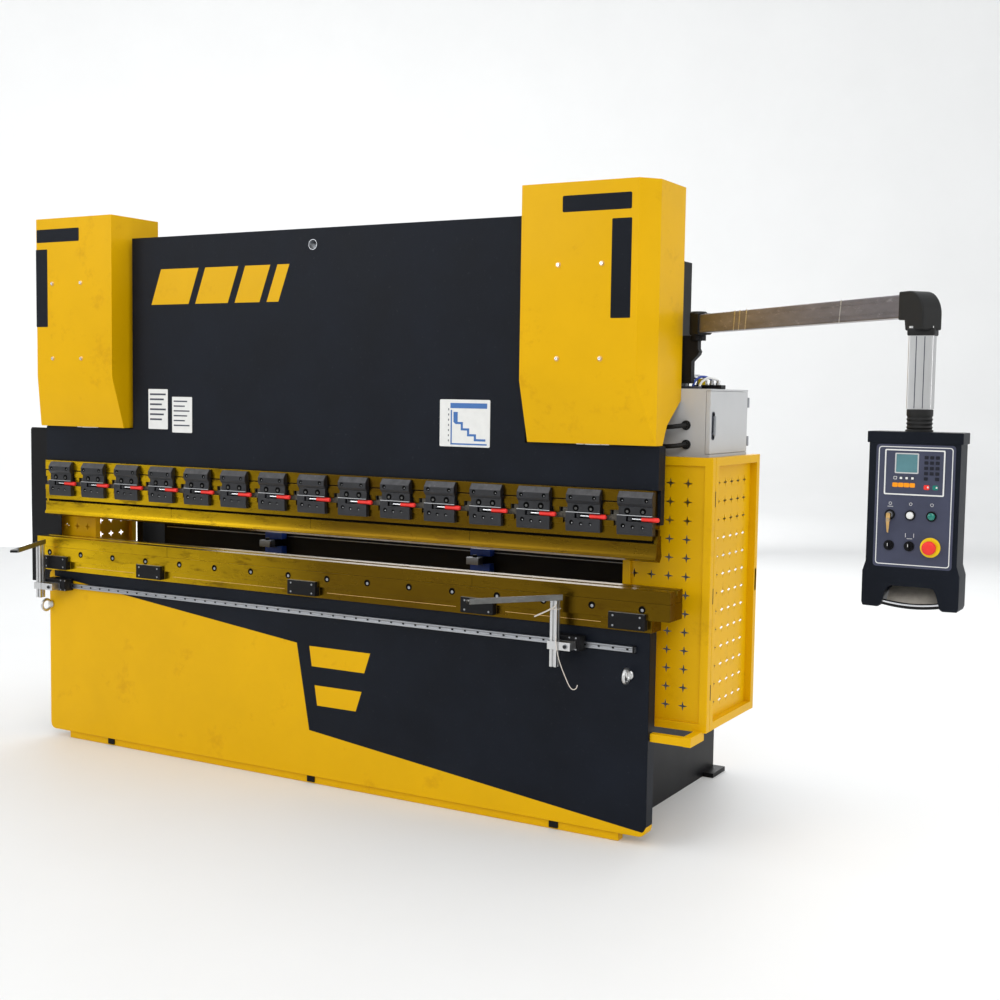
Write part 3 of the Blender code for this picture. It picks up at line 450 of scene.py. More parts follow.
def frame_and_covers():
    bed()
    for word, side in (("left", -1), ("right", 1)):
        soften(f"{word}_side_frame", BLACK, 0.003)
        soften(f"{word}_cylinder_cover", YELLOW, 0.0014)
        soften(f"{word}_cylinder", BLACK, 0.003)
        soften(f"{word}_piston_rod", CHROME, 0.001)
        cover_marks(word)
        x = side * CYLINDER_X
        bands = [barrel("Z", (x, CYLINDER_Y), 0.1035, z, 0.022, 0.004, 32)
                 for z in (1.712, 2.262)]
        bolts = [drum("Z", p, 0.011, 2.299, 2.311, 6) for p in circle((x, CYLINDER_Y), 0.078, 8, pi / 4)]
        emit(f"{word}_cylinder_bands", "frame", STEEL, bands + bolts, 0.001, slot=f"{word}_cylinder")
        wiper = lathe("Z", (x, CYLINDER_Y),
                      [(0.0515, 1.7), (0.064, 1.702), (0.064, 1.709), (0.0515, 1.7095)], 28)
        emit(f"{word}_rod_wiper", "frame", RUBBER, [wiper])
        nuts = [drum("Z", (x + sx, sy), 0.011, 1.5555, 1.567, 6) for sx in (-0.058, 0.058)
                for sy in (-0.008, 0.022)]
        emit(f"{word}_rod_nuts", "ram", STEEL, nuts, 0.001)


# ---------------------------------------------------------------- ram

RAM_FRONT = -0.025
LIFT_HOLE = (0, 2.338)


def ram():
    soften("ram_plate", DARK, 0.003)
    y = RAM_FRONT
    mark = []
    for low, high in ((-0.925, -0.7), (-0.66, -0.47), (-0.43, -0.29), (-0.25, -0.185)):
        mark.append(prism([(low, 2.1), (high, 2.1), (high + 0.06, 2.26), (low + 0.06, 2.26)][::-1], "Y",
                          y - 0.0006, y + 0.0005))
    emit("ram_mark", "ram", YELLOW, mark, slot="bed_plate")
    plates = [
        plate((-0.946, -0.827), (1.53, 1.714), 0.004, y - 0.0008, y + 0.0005),
        plate((-0.8, -0.68), (1.517, 1.68), 0.004, y - 0.0008, y + 0.0005),
        plate((0.65, 0.886), (1.5, 1.69), 0.005, y - 0.0008, y + 0.0005),
    ]
    emit("ram_plates", "ram", WHITE, plates)
    f = (y - 0.0013, y - 0.0004)
    grey = []
    for i in range(6):
        z = 1.69 - i * 0.023
        grey.append(box((-0.936, -0.936 + 0.1 * (0.97 - 0.12 * (i % 3))), f, span(z, 0.004)))
        z = 1.66 - i * 0.022
        grey.append(box((-0.79, -0.79 + 0.1 * (0.95 - 0.14 * ((i + 1) % 3))), f, span(z, 0.003)))
    for i in range(7):
        z = 1.52 + i * 0.021
        grey.append(box((0.69, 0.694), f, (z, z + 0.008)))
    emit("ram_plate_lines", "ram", GREY_KEY, grey)
    blue = [box((0.7, 0.872), f, (1.655, 1.676))]
    steps = [(0.715, 1.64), (0.735, 1.64), (0.735, 1.6), (0.76, 1.6), (0.76, 1.575), (0.79, 1.575),
             (0.79, 1.552), (0.822, 1.552), (0.822, 1.533), (0.866, 1.533), (0.866, 1.524), (0.812, 1.524),
             (0.812, 1.543), (0.78, 1.543), (0.78, 1.566), (0.75, 1.566), (0.75, 1.591),
             (0.725, 1.591), (0.715, 1.6)]
    blue.append(prism(steps, "Y", *f))
    blue.append(box((0.702, 0.708), f, (1.512, 1.648)))
    blue.append(box((0.702, 0.872), f, (1.508, 1.514)))
    emit("ram_chart", "ram", PLATE_BLUE, blue)
    liner = collar(LIFT_HOLE, 0.0222, 0.0022, "Y", -0.0256, 0.0356, 28)
    emit("lift_hole_liner", "ram", STEEL, [liner])
    seals = [box(sorted((sx * 1.075, sx * 1.612)), (-0.0245, 0.0345), (1.5262, 1.5297)) for sx in (-1, 1)]
    emit("ram_shoulder_seals", "ram", RUBBER, seals)
    guides = [box((sx * 0.985 - 0.012, sx * 0.985 + 0.012), (0.0352, 0.0362), (1.62, 2.18))
              for sx in (-1, 1)]
    emit("ram_guide_strips", "ram", BRASS, guides)


# ---------------------------------------------------------------- upper tooling

CLAMPS = 15
PITCH = 0.2162
FIRST = -1.56
WIDTH = 0.147
FRONT = -0.066
LEVER_Y = -0.0545
LEVER_Z = 1.2545


def holder():
    web = -0.033
    outline = [(-0.0003, 1.362), (-0.045, 1.362), (-0.045, 1.318), (web, 1.318), (web, 1.226),
               (-0.045, 1.226)]
    outline += [(-0.045, 1.175), (-0.0268, 1.175), (-0.0268, 1.19), (-0.016, 1.19), (-0.016, 1.216)]
    outline += [(0.0, 1.216), (0.0, 1.19), (0.026, 1.19), (0.026, 1.2297), (-0.0003, 1.2297)]
    emit("holder_strip", "ram", GOLD, [prism(outline, "X", -1.605, 1.605)], 0.001, slot="die_rail",
         replaces=["clamp_holder"])
    emit("holder_shadow_gap", "ram", HOLE, [box((-1.604, 1.604), (-0.0268, -0.0262), (1.163, 1.1752))])
    tabs, dark, rough = [], [], []
    for i in range(-1, CLAMPS):
        left = FIRST + PITCH * i + WIDTH
        right = left + PITCH - WIDTH
        left, right = max(left, -1.603), min(right, 1.603)
        if right - left < 0.01:
            continue
        tabs.append(box((left, right), (-0.0445, web + 0.001), (1.284, 1.313)))
        if right - left > 0.04:
            tabs.append(box((left + 0.004, left + 0.03), (-0.041, web + 0.001), (1.262, 1.286)))
            tabs.append(box((left, left + 0.05), (-0.049, web + 0.001), (1.222, 1.243)))
            dark.append(box((left + 0.033, left + 0.043), (web - 0.0045, web + 0.001), (1.266, 1.284)))
        rough.append(box((left, right), (web - 0.0035, web + 0.001), (1.226, 1.285)))
        dark.append(box((left, right), (-0.044, web + 0.001), (1.313, 1.3182)))
    emit("holder_tabs", "ram", GOLD, tabs, 0.0012, slot="die_rail")
    emit("holder_recess", "ram", ROUGH_GOLD, rough, 0.0008, slot="die_rail")
    emit("holder_gap", "ram", HOLE, dark)


def one_clamp(i):
    """The black shapes, lighter chamfer tops (painted highlight with wear spots), bright edge strips
    (painted highlight), dark holes, bright spots in them (painted glints) and bolts of one clamp.
    """
    x = FIRST + PITCH * i
    r = x + WIDTH
    front, deep = FRONT, LEVER_Y + 0.013
    low, high = LEVER_Z - 0.0095, LEVER_Z + 0.0095
    slot_left = x + 0.039
    nose = front - 0.004
    cap = [(-0.036, 1.357), (front + 0.012, 1.357), (nose, 1.335), (nose, 1.313), (front + 0.006, 1.3005)]
    cap += [(-0.036, 1.3005)]
    foot = [(-0.036, 1.194), (front + 0.0035, 1.194), (front, 1.212), (front, low), (-0.036, low)]
    bodies = [
        prism(cap, "X", x + 0.002, r - 0.002),
        box((x + 0.004, r - 0.004), (front + 0.0075, -0.036), (1.266, 1.301)),
        prism(foot, "X", x, r),
        box((x, slot_left), (front, -0.036), (low - 0.001, high + 0.001)),
        box((x, r), (deep, -0.036), (low - 0.001, high + 0.001)),
        box((x, r), (front, -0.036), (high, 1.268)),
    ]
    ramp = [(front + 0.0118, 1.3575), (nose - 0.0004, 1.3354), (nose + 0.0006, 1.3354),
            (front + 0.0124, 1.356)]
    # The upper chamfer in the lighter oxide: painted highlight, with wear spots.
    worn = [prism(ramp, "X", x + 0.004, r - 0.004)]
    # A thin bright strip on the lower plate's top front edge: painted highlight.
    edge_highlight = [box((x + 0.001, r - 0.001), (front - 0.0004, front + 0.003), (1.267, 1.269))]
    holes = [drum("Y", (x + dx, z), rr, y - 0.0004, y + 0.002, 16)
             for dx, z, rr, y in ((0.022, 1.3255, 0.0082, nose), (0.122, 1.3255, 0.0082, nose),
                                  (0.026, 1.2285, 0.0088, front), (0.066, 1.2245, 0.0072, front),
                                  (0.106, 1.2245, 0.0062, front), (0.04, 1.2835, 0.013, front + 0.0075),
                                  (0.104, 1.2835, 0.013, front + 0.0075))]
    # Small bright discs set off-centre in the holes: painted glints.
    glints = [drum("Y", (x + dx + 0.002, z - 0.002), rr, y - 0.0008, y, 8)
              for dx, z, rr, y in ((0.026, 1.2285, 0.0022, front), (0.066, 1.2245, 0.0022, front),
                                   (0.106, 1.2245, 0.002, front), (0.022, 1.3255, 0.0016, nose),
                                   (0.122, 1.3255, 0.0016, nose))]
    bolts = [socket_head(x + dx, front + 0.0078, 1.282, 0.0052, 0.0035, 0.55) for dx in (0.041, 0.105)]
    return bodies, worn, edge_highlight, holes, glints, bolts


def clamps():
    groups = [[] for _ in range(6)]
    for i in range(CLAMPS):
        for group, shapes in zip(groups, one_clamp(i)):
            group += shapes
    bodies, worn, edges, holes, glints, bolts = groups
    emit("clamp_blocks", "ram", OXIDE, bodies, 0.0016, slot="clamp_holder")
    # Lighter upper chamfers: painted highlight with wear spots.
    emit("clamp_tops_highlight_and_wear", "ram", OXIDE_HIGHLIGHT_AND_WEAR, worn)
    # Bright strips on the lower plates' top front edges: painted highlight.
    emit("clamp_edge_highlights", "ram", BRIGHT, edges)
    emit("clamp_holes", "ram", HOLE, holes)
    emit("clamp_glints", "ram", BRIGHT, glints)
    emit("clamp_bolts", "ram", DULL, bolts)
    for i in range(CLAMPS):
        x = FIRST + PITCH * i + 0.052
        name = f"clamp_lever_{i + 1:02d}"
        y = LEVER_Y
        rod = lathe("X", (y, LEVER_Z), [(0.005, x), (0.005, x + 0.052)], 14)
        hub = barrel("Z", (x, y), 0.0103, LEVER_Z - 0.0085, 0.017, 0.0018, 18, 0.0015)
        emit(f"{name}_rod", name, BRIGHT, [rod])
        emit(f"{name}_hub", name, OXIDE, [hub])
        sleeve = [(0.007, x + 0.0465), (0.0086, x + 0.0475), (0.009, x + 0.05), (0.009, x + 0.109)]
        sleeve += [(0.0084, x + 0.1135), (0.0066, x + 0.116), (0.004, x + 0.1165)]
        emit(f"{name}_sleeve", name, RED, [lathe("X", (y, LEVER_Z), sleeve, 18)], node=name)


def tooling():
    holder()
    clamps()
    soften("punch", GOLD, 0.0008)
    soften("die_block", GOLD, 0.0012)
    soften("die_rail", GOLD, 0.0014)
    upper = [box(span(x, 0.0004), (-0.0326, -0.0255), (1.1225, 1.1895)) for x in (-0.802, 0.0, 0.802)]
    lower = [box(span(x, 0.0004), (-0.0605, -0.0595), (0.9424, 0.9898)) for x in (-0.802, 0.833)]
    emit("tool_joints", "frame", HOLE, lower)
    emit("punch_joints", "ram", HOLE, upper)
    pits, screws, lips = [], [], []
    for i in range(16):
        x, z = -1.565 + 0.2095 * i, 0.915
        pits.append(drum("Y", (x, z), 0.0145, -0.0604, -0.055, 24))
        screws.append(socket_head(x + 0.001, -0.0602, z - 0.002, 0.006, 0.0016, 0.62))
        lips.append(ring(circle((x, z), 0.0158, 24), circle((x, z), 0.0143, 24), "Y", -0.0607, -0.058))
    emit("rail_pits", "frame", HOLE, pits)
    emit("rail_screws", "frame", STEEL, screws)
    emit("rail_lips", "frame", GOLD, lips)
    blocks, tops, small = [], [], []
    for x in (-1.515, -0.905, -0.015, 0.865, 1.52):
        blocks.append(box(span(x, 0.0755), (-0.0766, -0.044), (0.8364, 0.8996)))
        tops.append(box(span(x, 0.0735), (-0.0752, -0.06), (0.899, 0.9002)))
        small += [socket_head(x + dx, -0.0764, 0.868 + dz, 0.004, 0.0014, 0.6)
                  for dx in (-0.056, 0.056) for dz in (-0.019, 0.019)]
    emit("rail_clamp_blocks", "frame", BLACK, blocks, 0.0022)
    emit("rail_clamp_tops", "frame", STEEL, tops)
    emit("rail_clamp_screws", "frame", STEEL, small)
    grooves = [box(reach, (-0.0454, -0.044), (0.8515, 0.853))
               for reach in ((-1.4, -1.02), (-0.78, -0.13), (0.1, 0.75), (0.98, 1.4))]
    emit("sole_grooves", "frame", BRASS, grooves)


# ---------------------------------------------------------------- front rail and supports

RAIL_Z = 0.757
SUPPORT_YAW = {"left": 30.0, "right": -38.0}


def front_rail():
    soften("front_rail", STEEL, 0.0008)
    pits, lips = [], []
    for i in range(52):
        x = -1.546 + 0.06 * i
        pits.append(drum("Y", (x, RAIL_Z), 0.0052, -0.0456, -0.043, 12))
        lips.append(collar((x, RAIL_Z), 0.0064, 0.0012, "Y", -0.0453, -0.043, 12))
    emit("front_rail_pits", "frame", HOLE, pits)
    emit("front_rail_lips", "frame", STEEL, lips)
    stop = ring([(-0.0515, 0.7425), (-0.0305, 0.7425), (-0.0305, 0.7715), (-0.0515, 0.7715)],
                [(-0.0486, 0.7455), (-0.0307, 0.7455), (-0.0307, 0.7685),
                 (-0.0486, 0.7685)], "X", 1.5375, 1.5455)
    emit("front_rail_stop", "frame", BLACK, [stop], 0.0006)


BLOCK_FRONT = -0.0908


def stem_axis(side):
    """Where a support's stem stands, and its top."""
    lo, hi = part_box(f"{side}_support_stem")
    return (lo.x + hi.x) / 2, (lo.y + hi.y) / 2, hi.z


def support(side):
    carriage, stem, arm = (f"{side}_support_{p}" for p in ("carriage", "stem", "arm"))
    block = soften(carriage, BLACK, 0.0014)
    block.data.materials.append(ALU)
    for polygon in block.data.polygons:
        if polygon.center.y < BLOCK_FRONT:
            polygon.material_index = 1
    soften(stem, ALU, 0.0006)
    soften(arm, DULL, 0.0012)
    cx, _, _ = stem_axis(side)
    reach = 0.1 if side == "left" else 0.076
    body = f"{side}_carriage"
    bolt_x = cx + reach - 0.02
    seat = lathe("Y", (bolt_x, RAIL_Z),
                 [(0.01, -0.1358), (0.01, -0.1375), (0.0088, -0.1382), (0.006, -0.1382)])
    emit(f"{side}_support_washer", body, STEEL, [seat])
    emit(f"{side}_support_bolt", body, OXIDE, [socket_head(bolt_x, -0.1381, RAIL_Z, 0.007, 0.005, 0.55)])
    split = [box((cx + 0.026, cx + 0.0275), (-0.1363, -0.1352), (0.7415, 0.7725))]
    emit(f"{side}_support_split", body, HOLE, split)
    ends = (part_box(carriage)[0].x - 0.0004, 1.3326) if side == "right" else (-1.5656, -1.4374)
    seals = [box((x, x + 0.003), (-0.0845, -0.0495), (0.7358, 0.7912)) for x in ends]
    emit(f"{side}_support_seals", body, RUBBER, seals, 0.0006)
    middle = 1.3 if side == "right" else -1.45
    heads = [socket_head(middle + dx, -0.0897, z, 0.0036, 0.0016, 0.6) for dx in (-0.01, 0.018)
             for z in (0.7415, 0.786)]
    emit(f"{side}_support_screws", body, STEEL, heads)


def arm_details(side):
    px, py, top = stem_axis(side)
    pz = top + 0.0003
    turn = Matrix.Translation((px, py, 0)) @ Matrix.Rotation(radians(SUPPORT_YAW[side]), 4, "Z")
    pits = [turned(drum("Z", (-0.002, -0.045 - 0.055 * i), 0.0038, pz + 0.0118, pz + 0.0123, 12), turn)
            for i in range(6)]
    emit(f"{side}_arm_holes", f"{side}_arm", HOLE, pits)
    bolt = [turned(lathe("Z", (0, 0), [(0.0085, pz + 0.0118), (0.0085, pz + 0.0155), (0.007, pz + 0.017),
                                       (0.003, pz + 0.017)]), turn)]
    emit(f"{side}_arm_bolt", f"{side}_arm", STEEL, bolt)
    pad = [turned(box((-0.0206, 0.0135), (-0.3606, -0.02), (pz - 0.0004, pz + 0.0085)), turn)]
    emit(f"{side}_arm_pad", f"{side}_arm", BLACK, pad)
    nicks = [turned(box((-0.0209, -0.0203), (-0.345 + 0.04 * i, -0.338 + 0.04 * i),
                        (pz + 0.0015, pz + 0.0045)), turn) for i in range(8)]
    emit(f"{side}_arm_nicks", f"{side}_arm", STEEL, nicks)


def ring_bolt(side, x, z):
    """A turned eye on a collar, in place of the faceted one."""
    rows = []
    for i in range(40):
        a = 2 * pi * i / 40
        centre = Vector((x, -0.0635 + 0.026 * cos(a), z + 0.026 * sin(a)))
        out = Vector((0, cos(a), sin(a)))
        rows.append([centre + u * out + v * Vector((1, 0, 0)) for u, v in circle((0, 0), 0.0068, 14)])
    foot = lathe("Y", (x, z), [(0.017, -0.0303), (0.017, -0.037), (0.0135, -0.0395), (0.01, -0.04)], 28)
    emit(f"{side}_ring_bolt_eye", "frame", ALU, [skin(rows, around=True), foot], node=f"{side}_ring_bolt")


def tie_and_hook():
    cx, cy, _ = stem_axis("right")
    half = 0.0165
    outer = [(cx - half, cy - half), (cx + half, cy - half), (cx + half, cy + half), (cx - half, cy + half)]
    inner = [(cx + 0.9 * (x - cx), cy + 0.9 * (y - cy)) for x, y in outer]
    band = ring(outer, inner, "Z", 0.8945, 0.8985)
    tail = tube([(cx + 0.012, cy - 0.0175, 0.914), (cx + 0.004, cy - 0.02, 0.9045),
                 (cx - 0.025, cy - 0.031, 0.887), (cx - 0.068, cy - 0.042, 0.865)], 0.003, 6)
    emit("stem_tie", "right_stem", TIE, [band, tail], 0.0003)
    wire = tube([(cx + 0.0175, cy - 0.0225, 0.8), (cx + 0.019, cy - 0.026, 0.78),
                 (cx + 0.021, cy - 0.0275, 0.757), (cx + 0.035, cy - 0.026, 0.7),
                 (cx + 0.06, cy - 0.022, 0.64), (cx + 0.078, cy - 0.02, 0.606),
                 (cx + 0.092, cy - 0.02, 0.596), (cx + 0.106, cy - 0.021, 0.602),
                 (cx + 0.112, cy - 0.022, 0.616)], 0.0017, 8)
    emit("hook_wire", "right_carriage", TIE, [wire])


def supports():
    front_rail()
    for side in SUPPORT_YAW:
        support(side)
        arm_details(side)
    ring_bolt("left", -1.588, 0.654)
    ring_bolt("right", 1.52, 0.657)
    tie_and_hook()


# ---------------------------------------------------------------- side guards

STAR = 0.0205
STAR_WAIST = 0.0058
STEP = 0.0714


def star_panel(axis, us, vs, u_span, v_span, low, high):
    """A sheet across an axis with four-pointed holes centred on us and vs."""
    bm = bmesh.new()
    made = {}

    def corner(u, v):
        key = (round(u, 5), round(v, 5))
        if key not in made:
            made[key] = bm.verts.new(at(axis, (u, v), low))
        return made[key]

    half = STEP / 2
    for u in us:
        for v in vs:
            outer, inner = [], []
            for k in range(8):
                a = k * pi / 4
                r = STAR if k % 2 == 0 else STAR_WAIST
                inner.append(corner(u + r * cos(a), v + r * sin(a)))
                sx = 0 if k in (2, 6) else (1 if k in (0, 1, 7) else -1)
                sz = 0 if k in (0, 4) else (1 if k in (1, 2, 3) else -1)
                outer.append(corner(u + half * sx, v + half * sz))
            for k in range(8):
                m = (k + 1) % 8
                bm.faces.new((outer[k], outer[m], inner[m], inner[k]))
    u_edges = sorted({round(u + side * half, 5) for u in us for side in (-1, 0, 1)})
    v_edges = sorted({round(v + side * half, 5) for v in vs for side in (-1, 0, 1)})
    all_u = [u_span[0], *u_edges, u_span[1]]
    all_v = [v_span[0], *v_edges, v_span[1]]
    for i in range(len(all_u) - 1):
        for j in range(len(all_v) - 1):
            if 0 < i < len(all_u) - 2 and 0 < j < len(all_v) - 2:
                continue
            bm.faces.new((corner(all_u[i], all_v[j]), corner(all_u[i + 1], all_v[j]),
                          corner(all_u[i + 1], all_v[j + 1]), corner(all_u[i], all_v[j + 1])))
    bmesh.ops.remove_doubles(bm, verts=bm.verts, dist=1e-6)
    thick = bmesh.ops.extrude_face_region(bm, geom=list(bm.faces))
    move = [g for g in thick["geom"] if isinstance(g, bmesh.types.BMVert)]
    offset = Vector((high - low, 0, 0)) if axis == "X" else Vector((0, high - low, 0))
    bmesh.ops.translate(bm, vec=offset, verts=move)
    bmesh.ops.recalc_face_normals(bm, faces=bm.faces)
    return bm


def bars(name, body, shapes, node):
    emit(name, body, YELLOW, shapes, 0.003, node=node)


ROWS = [1.386 - STEP * k for k in range(13)]


def guards():
    t, low, high = 0.033, 0.437, 1.487
    x0, x1, y0, y1 = 1.4203, 1.783, 0.1, 0.627
    frame_bars = [
        box((x1 - t, x1), (y0, y0 + t), (low, high)),
        box((x0, x0 + t), (y0, y0 + t), (low, high)),
        box((x0 + 0.002, x1 - 0.002), (y0 + 0.0005, y0 + t - 0.0005), (low + 0.0005, low + t)),
        box((x0 + 0.002, x1 - 0.002), (y0 + 0.0005, y0 + t - 0.0005), (high - t, high - 0.0005)),
        box((1.735, 1.768), (-0.018, y0 + 0.02), (0.405, low + 0.006)),
        box((1.6015, 1.767), (-0.017, 0.015), (0.406, 0.438)),
    ]
    bars("right_guard_front_bars", "frame", frame_bars, "right_guard_frame")
    panel = star_panel("Y", [1.4655 + STEP * k for k in range(4)], ROWS, (x0 + 0.005, x1 - t + 0.008),
                       (low + 0.01, high - 0.01), y0 + 0.012, y0 + 0.014)
    emit("right_guard_front_panel", "frame", YELLOW, [panel], slot="right_guard_frame")
    front = y0 + t + 0.0015
    door_bars = [
        box((x1 - t, x1), (front, front + t), (low, high)),
        box((x1 - t, x1), (y1 - t, y1), (low, high)),
        box((x1 - t + 0.0005, x1 - 0.0005), (front + 0.002, y1 - 0.002), (low + 0.0005, low + t)),
        box((x1 - t + 0.0005, x1 - 0.0005), (front + 0.002, y1 - 0.002), (high - t, high - 0.0005)),
    ]
    bars("right_guard_door_bars", "guard_door", door_bars, "right_guard_door")
    panel = star_panel("X", [0.238 + STEP * k for k in range(5)], ROWS, (front + 0.01, y1 - t + 0.01),
                       (low + 0.01, high - 0.01), x1 - t + 0.003, x1 - t + 0.005)
    emit("right_guard_side_panel", "guard_door", YELLOW, [panel], slot="right_guard_door")
    hinges = [barrel("Z", (x1 - 0.004, front - 0.0008), 0.0052, z, 0.06, 0.0007, 14)
              for z in (0.56, 0.93, 1.3)]
    emit("right_guard_hinges", "frame", BLACK, hinges)
    lock = [box((x1 - 0.0015, x1), (y1 - 0.026, y1 - 0.008), (0.93, 1.02))]
    emit("right_guard_lock", "guard_door", BLACK, lock, 0.0006)
    x0, x1 = -1.7, -1.4203
    left_bars = [
        box((x0, x0 + t), (y0, y0 + t), (low, high)),
        box((x1 - t, x1), (y0, y0 + t), (low, high)),
        box((x0, x0 + t), (y1 - t, y1), (low, high)),
    ]
    for z in ((low + 0.0005, low + t), (high - t, high - 0.0005)):
        left_bars.append(box((x0 + 0.002, x1 - 0.002), (y0 + 0.0005, y0 + t - 0.0005), z))
        left_bars.append(box((x0 + 0.0005, x0 + t - 0.0005), (y0 + 0.002, y1 - 0.002), z))
    bars("left_guard_bars", "frame", left_bars, "left_guard_cage")
    panels = [
        star_panel("Y", [-1.6315 + STEP * k for k in range(3)], ROWS, (x0 + 0.01, x1 - 0.01),
                   (low + 0.01, high - 0.01), y0 + 0.012, y0 + 0.014),
        star_panel("X", [0.178 + STEP * k for k in range(6)], ROWS, (y0 + 0.01, y1 - t + 0.01),
                   (low + 0.01, high - 0.01), x0 + 0.012, x0 + 0.014),
    ]
    emit("left_guard_panels", "frame", YELLOW, panels, slot="left_guard_cage")
    soften("left_side_shield", BLACK, 0.0008)
    screws = [socket_head(-1.688, 0.0658, z, 0.006, 0.003, 0.5) for z in (0.96, 1.15, 1.34)]
    emit("side_shield_screws", "frame", STEEL, screws)


# ---------------------------------------------------------------- cabinet

def cabinet():
    soften("cabinet_body", GREY, 0.0022)
    soften("cabinet_door", GREY, 0.003)
    x = 1.738
    y, z = 0.204, 1.575
    rim = ring(rounded(span(y, 0.014), (z - 0.024, z + 0.084), 0.01),
               rounded(span(y, 0.0105), (z - 0.0205, z + 0.0805), 0.0075), "X", x - 0.001, x + 0.0022)
    emit("latch_rim", "cabinet_door", GREY_KEY, [rim])
    back = prism(rounded(span(y, 0.0105), (z - 0.0205, z + 0.0805), 0.0075), "X", x - 0.0005, x + 0.0004)
    emit("latch_recess", "cabinet_door", HOLE, [back])
    grip = prism(rounded(span(y, 0.0065), (z - 0.009, z + 0.069), 0.006), "X", x + 0.0024, x + 0.0098)
    hub = lathe("X", (y, z), [(0.0057, x - 0.0113), (0.0057, x + 0.004)], 18)
    lock = lathe("X", (y, z), [(0.0045, x + 0.0095), (0.0045, x + 0.0104), (0.003, x + 0.0108)], 16)
    emit("latch_handle", "cabinet_latch", STEEL, [grip, hub, lock], 0.0012, node="cabinet_latch")
    hinges = [barrel("Z", (x + 0.0005, 0.5895), 0.0058, h, 0.04, 0.0008, 14) for h in (1.52, 1.675)]
    emit("cabinet_hinges", "frame", STEEL, hinges)
    for node in ("upper_conduit", "lower_conduit"):
        keep(node, RUBBER)
        for polygon in NODES[node].data.polygons:
            polygon.use_smooth = True
    glands = []
    for gx, gz in ((1.64, 1.606), (1.642, 1.532)):
        glands.append(collar((gx, gz), 0.0185, 0.0079, "Y", 0.17, 0.1764))
        glands.append(collar((gx, gz), 0.015, 0.0046, "Y", 0.16, 0.1705, 6))
    emit("conduit_glands", "frame", RUBBER, glands, 0.0006)
    loom()


def loom():
    """Terminal block and short wiring on top of the cabinet, beside the arm bracket."""
    top = 1.7463
    xs = [1.628 + 0.027 * i for i in range(4)]
    emit("top_block", "frame", BLACK, [box((1.612, 1.73), (0.3, 0.352), (top, top + 0.016))], 0.003)
    fittings = [lathe("Z", (x, 0.326), [(0.0105, top + 0.014), (0.0105, top + 0.022), (0.0078, top + 0.024),
                                        (0.0078, top + 0.034), (0.0055, top + 0.036)], 18) for x in xs]
    emit("top_glands", "frame", ALU, fittings)
    for i, (word, material, rise) in enumerate((("black", RUBBER, 0.04), ("clear", CLEAR, 0.048),
                                                ("blue", BLUE, 0.043), ("white", WHITE, 0.038))):
        x = xs[i]
        path = [(x, 0.326, top + 0.034), (x - 0.006, 0.306, top + rise),
                (x - 0.022, 0.27, top + rise + 0.004), (x - 0.036, 0.242, top + rise - 0.012),
                (x - 0.04, 0.226, top + 0.006)]
        emit(f"top_wire_{word}", "frame", material, [tube(path, 0.0046, 10)])
    strip = box((1.58, 1.675), (0.212, 0.24), (top, top + 0.01))
    emit("top_strip", "frame", GREY_KEY, [strip], 0.002)
    tag = box((1.64, 1.668), (0.2895, 0.2915), (top + 0.016, top + 0.04))
    emit("top_tag", "frame", SIGNAL, [tag])


# ---------------------------------------------------------------- pendant

PIVOT = Vector((1.668, 0.205))
ELBOW = Vector((2.705, -0.64))


def pendant_arm():
    along = (ELBOW - PIVOT).normalized()
    length = (ELBOW - PIVOT).length
    turn = Matrix.Translation((*PIVOT, 0)) @ Matrix.Rotation(atan2(along.y, along.x), 4, "Z")
    half = 0.025
    section = rounded((-half, half), (1.957, 2.027), 0.006, 3)
    beam = turned(prism(section, "X", 0.02, length - 0.03), turn)
    lips = [turned(box((0.02, length - 0.05), (s * half - 0.001, s * half + 0.001), (z, z + 0.0016)), turn)
            for s in (-1, 1) for z in (1.9745, 2.0085)]
    emit("arm_tube", "pendant_arm", BRONZE_ALU, [beam, *lips], node="pendant_arm")
    hub = lathe("Z", PIVOT, [(0.03, 1.95), (0.034, 1.953), (0.034, 2.034), (0.028, 2.04)], 28)
    sleeve = turned(prism(rounded((-0.031, 0.031), (1.951, 2.033), 0.008, 3), "X", 0.01, 0.05), turn)
    profile = [(length - 0.075, 1.95), (length - 0.075, 2.034)]
    profile += arc((length - 0.03, 1.963), 0.071, 90, 0, 10)
    profile += [(length + 0.041, 1.918), (length - 0.04, 1.918), (length - 0.046, 1.95)]
    elbow = turned(prism(profile[::-1], "Y", -0.034, 0.034), turn)
    foot = box(span(ELBOW.x, 0.0395), span(ELBOW.y, 0.0285), (1.902, 1.924))
    emit("arm_joints", "pendant_arm", RUBBER, [hub, sleeve, elbow, foot], 0.005, 3)
    e = ELBOW
    drop = prism(rounded(span(e.x, 0.036), span(e.y, 0.025), 0.006, 3), "Z", 1.688, 1.93)
    emit("arm_drop", "pendant_arm", ALU, [drop], slot="pendant_arm")
    seams = [box((e.x + dx - 0.0012, e.x + dx + 0.0012), (e.y - 0.0256, e.y - 0.0245), (1.69, 1.9))
             for dx in (-0.012, 0.012)]
    emit("arm_drop_seams", "pendant_arm", GREY_KEY, seams)
    folds = [turned(prism([(u, 1.9565), (u + 0.004, 1.9565), (u + 0.014, 2.0275), (u + 0.008, 2.0275)],
                          "Y", -0.0254, -0.0248), turn)
             for u in (0.3, 0.335, 0.38, 0.95)]
    emit("arm_wrap_folds", "pendant_arm", ALU, folds)


FRONT_Y = -0.685
BACK_Y = -0.592


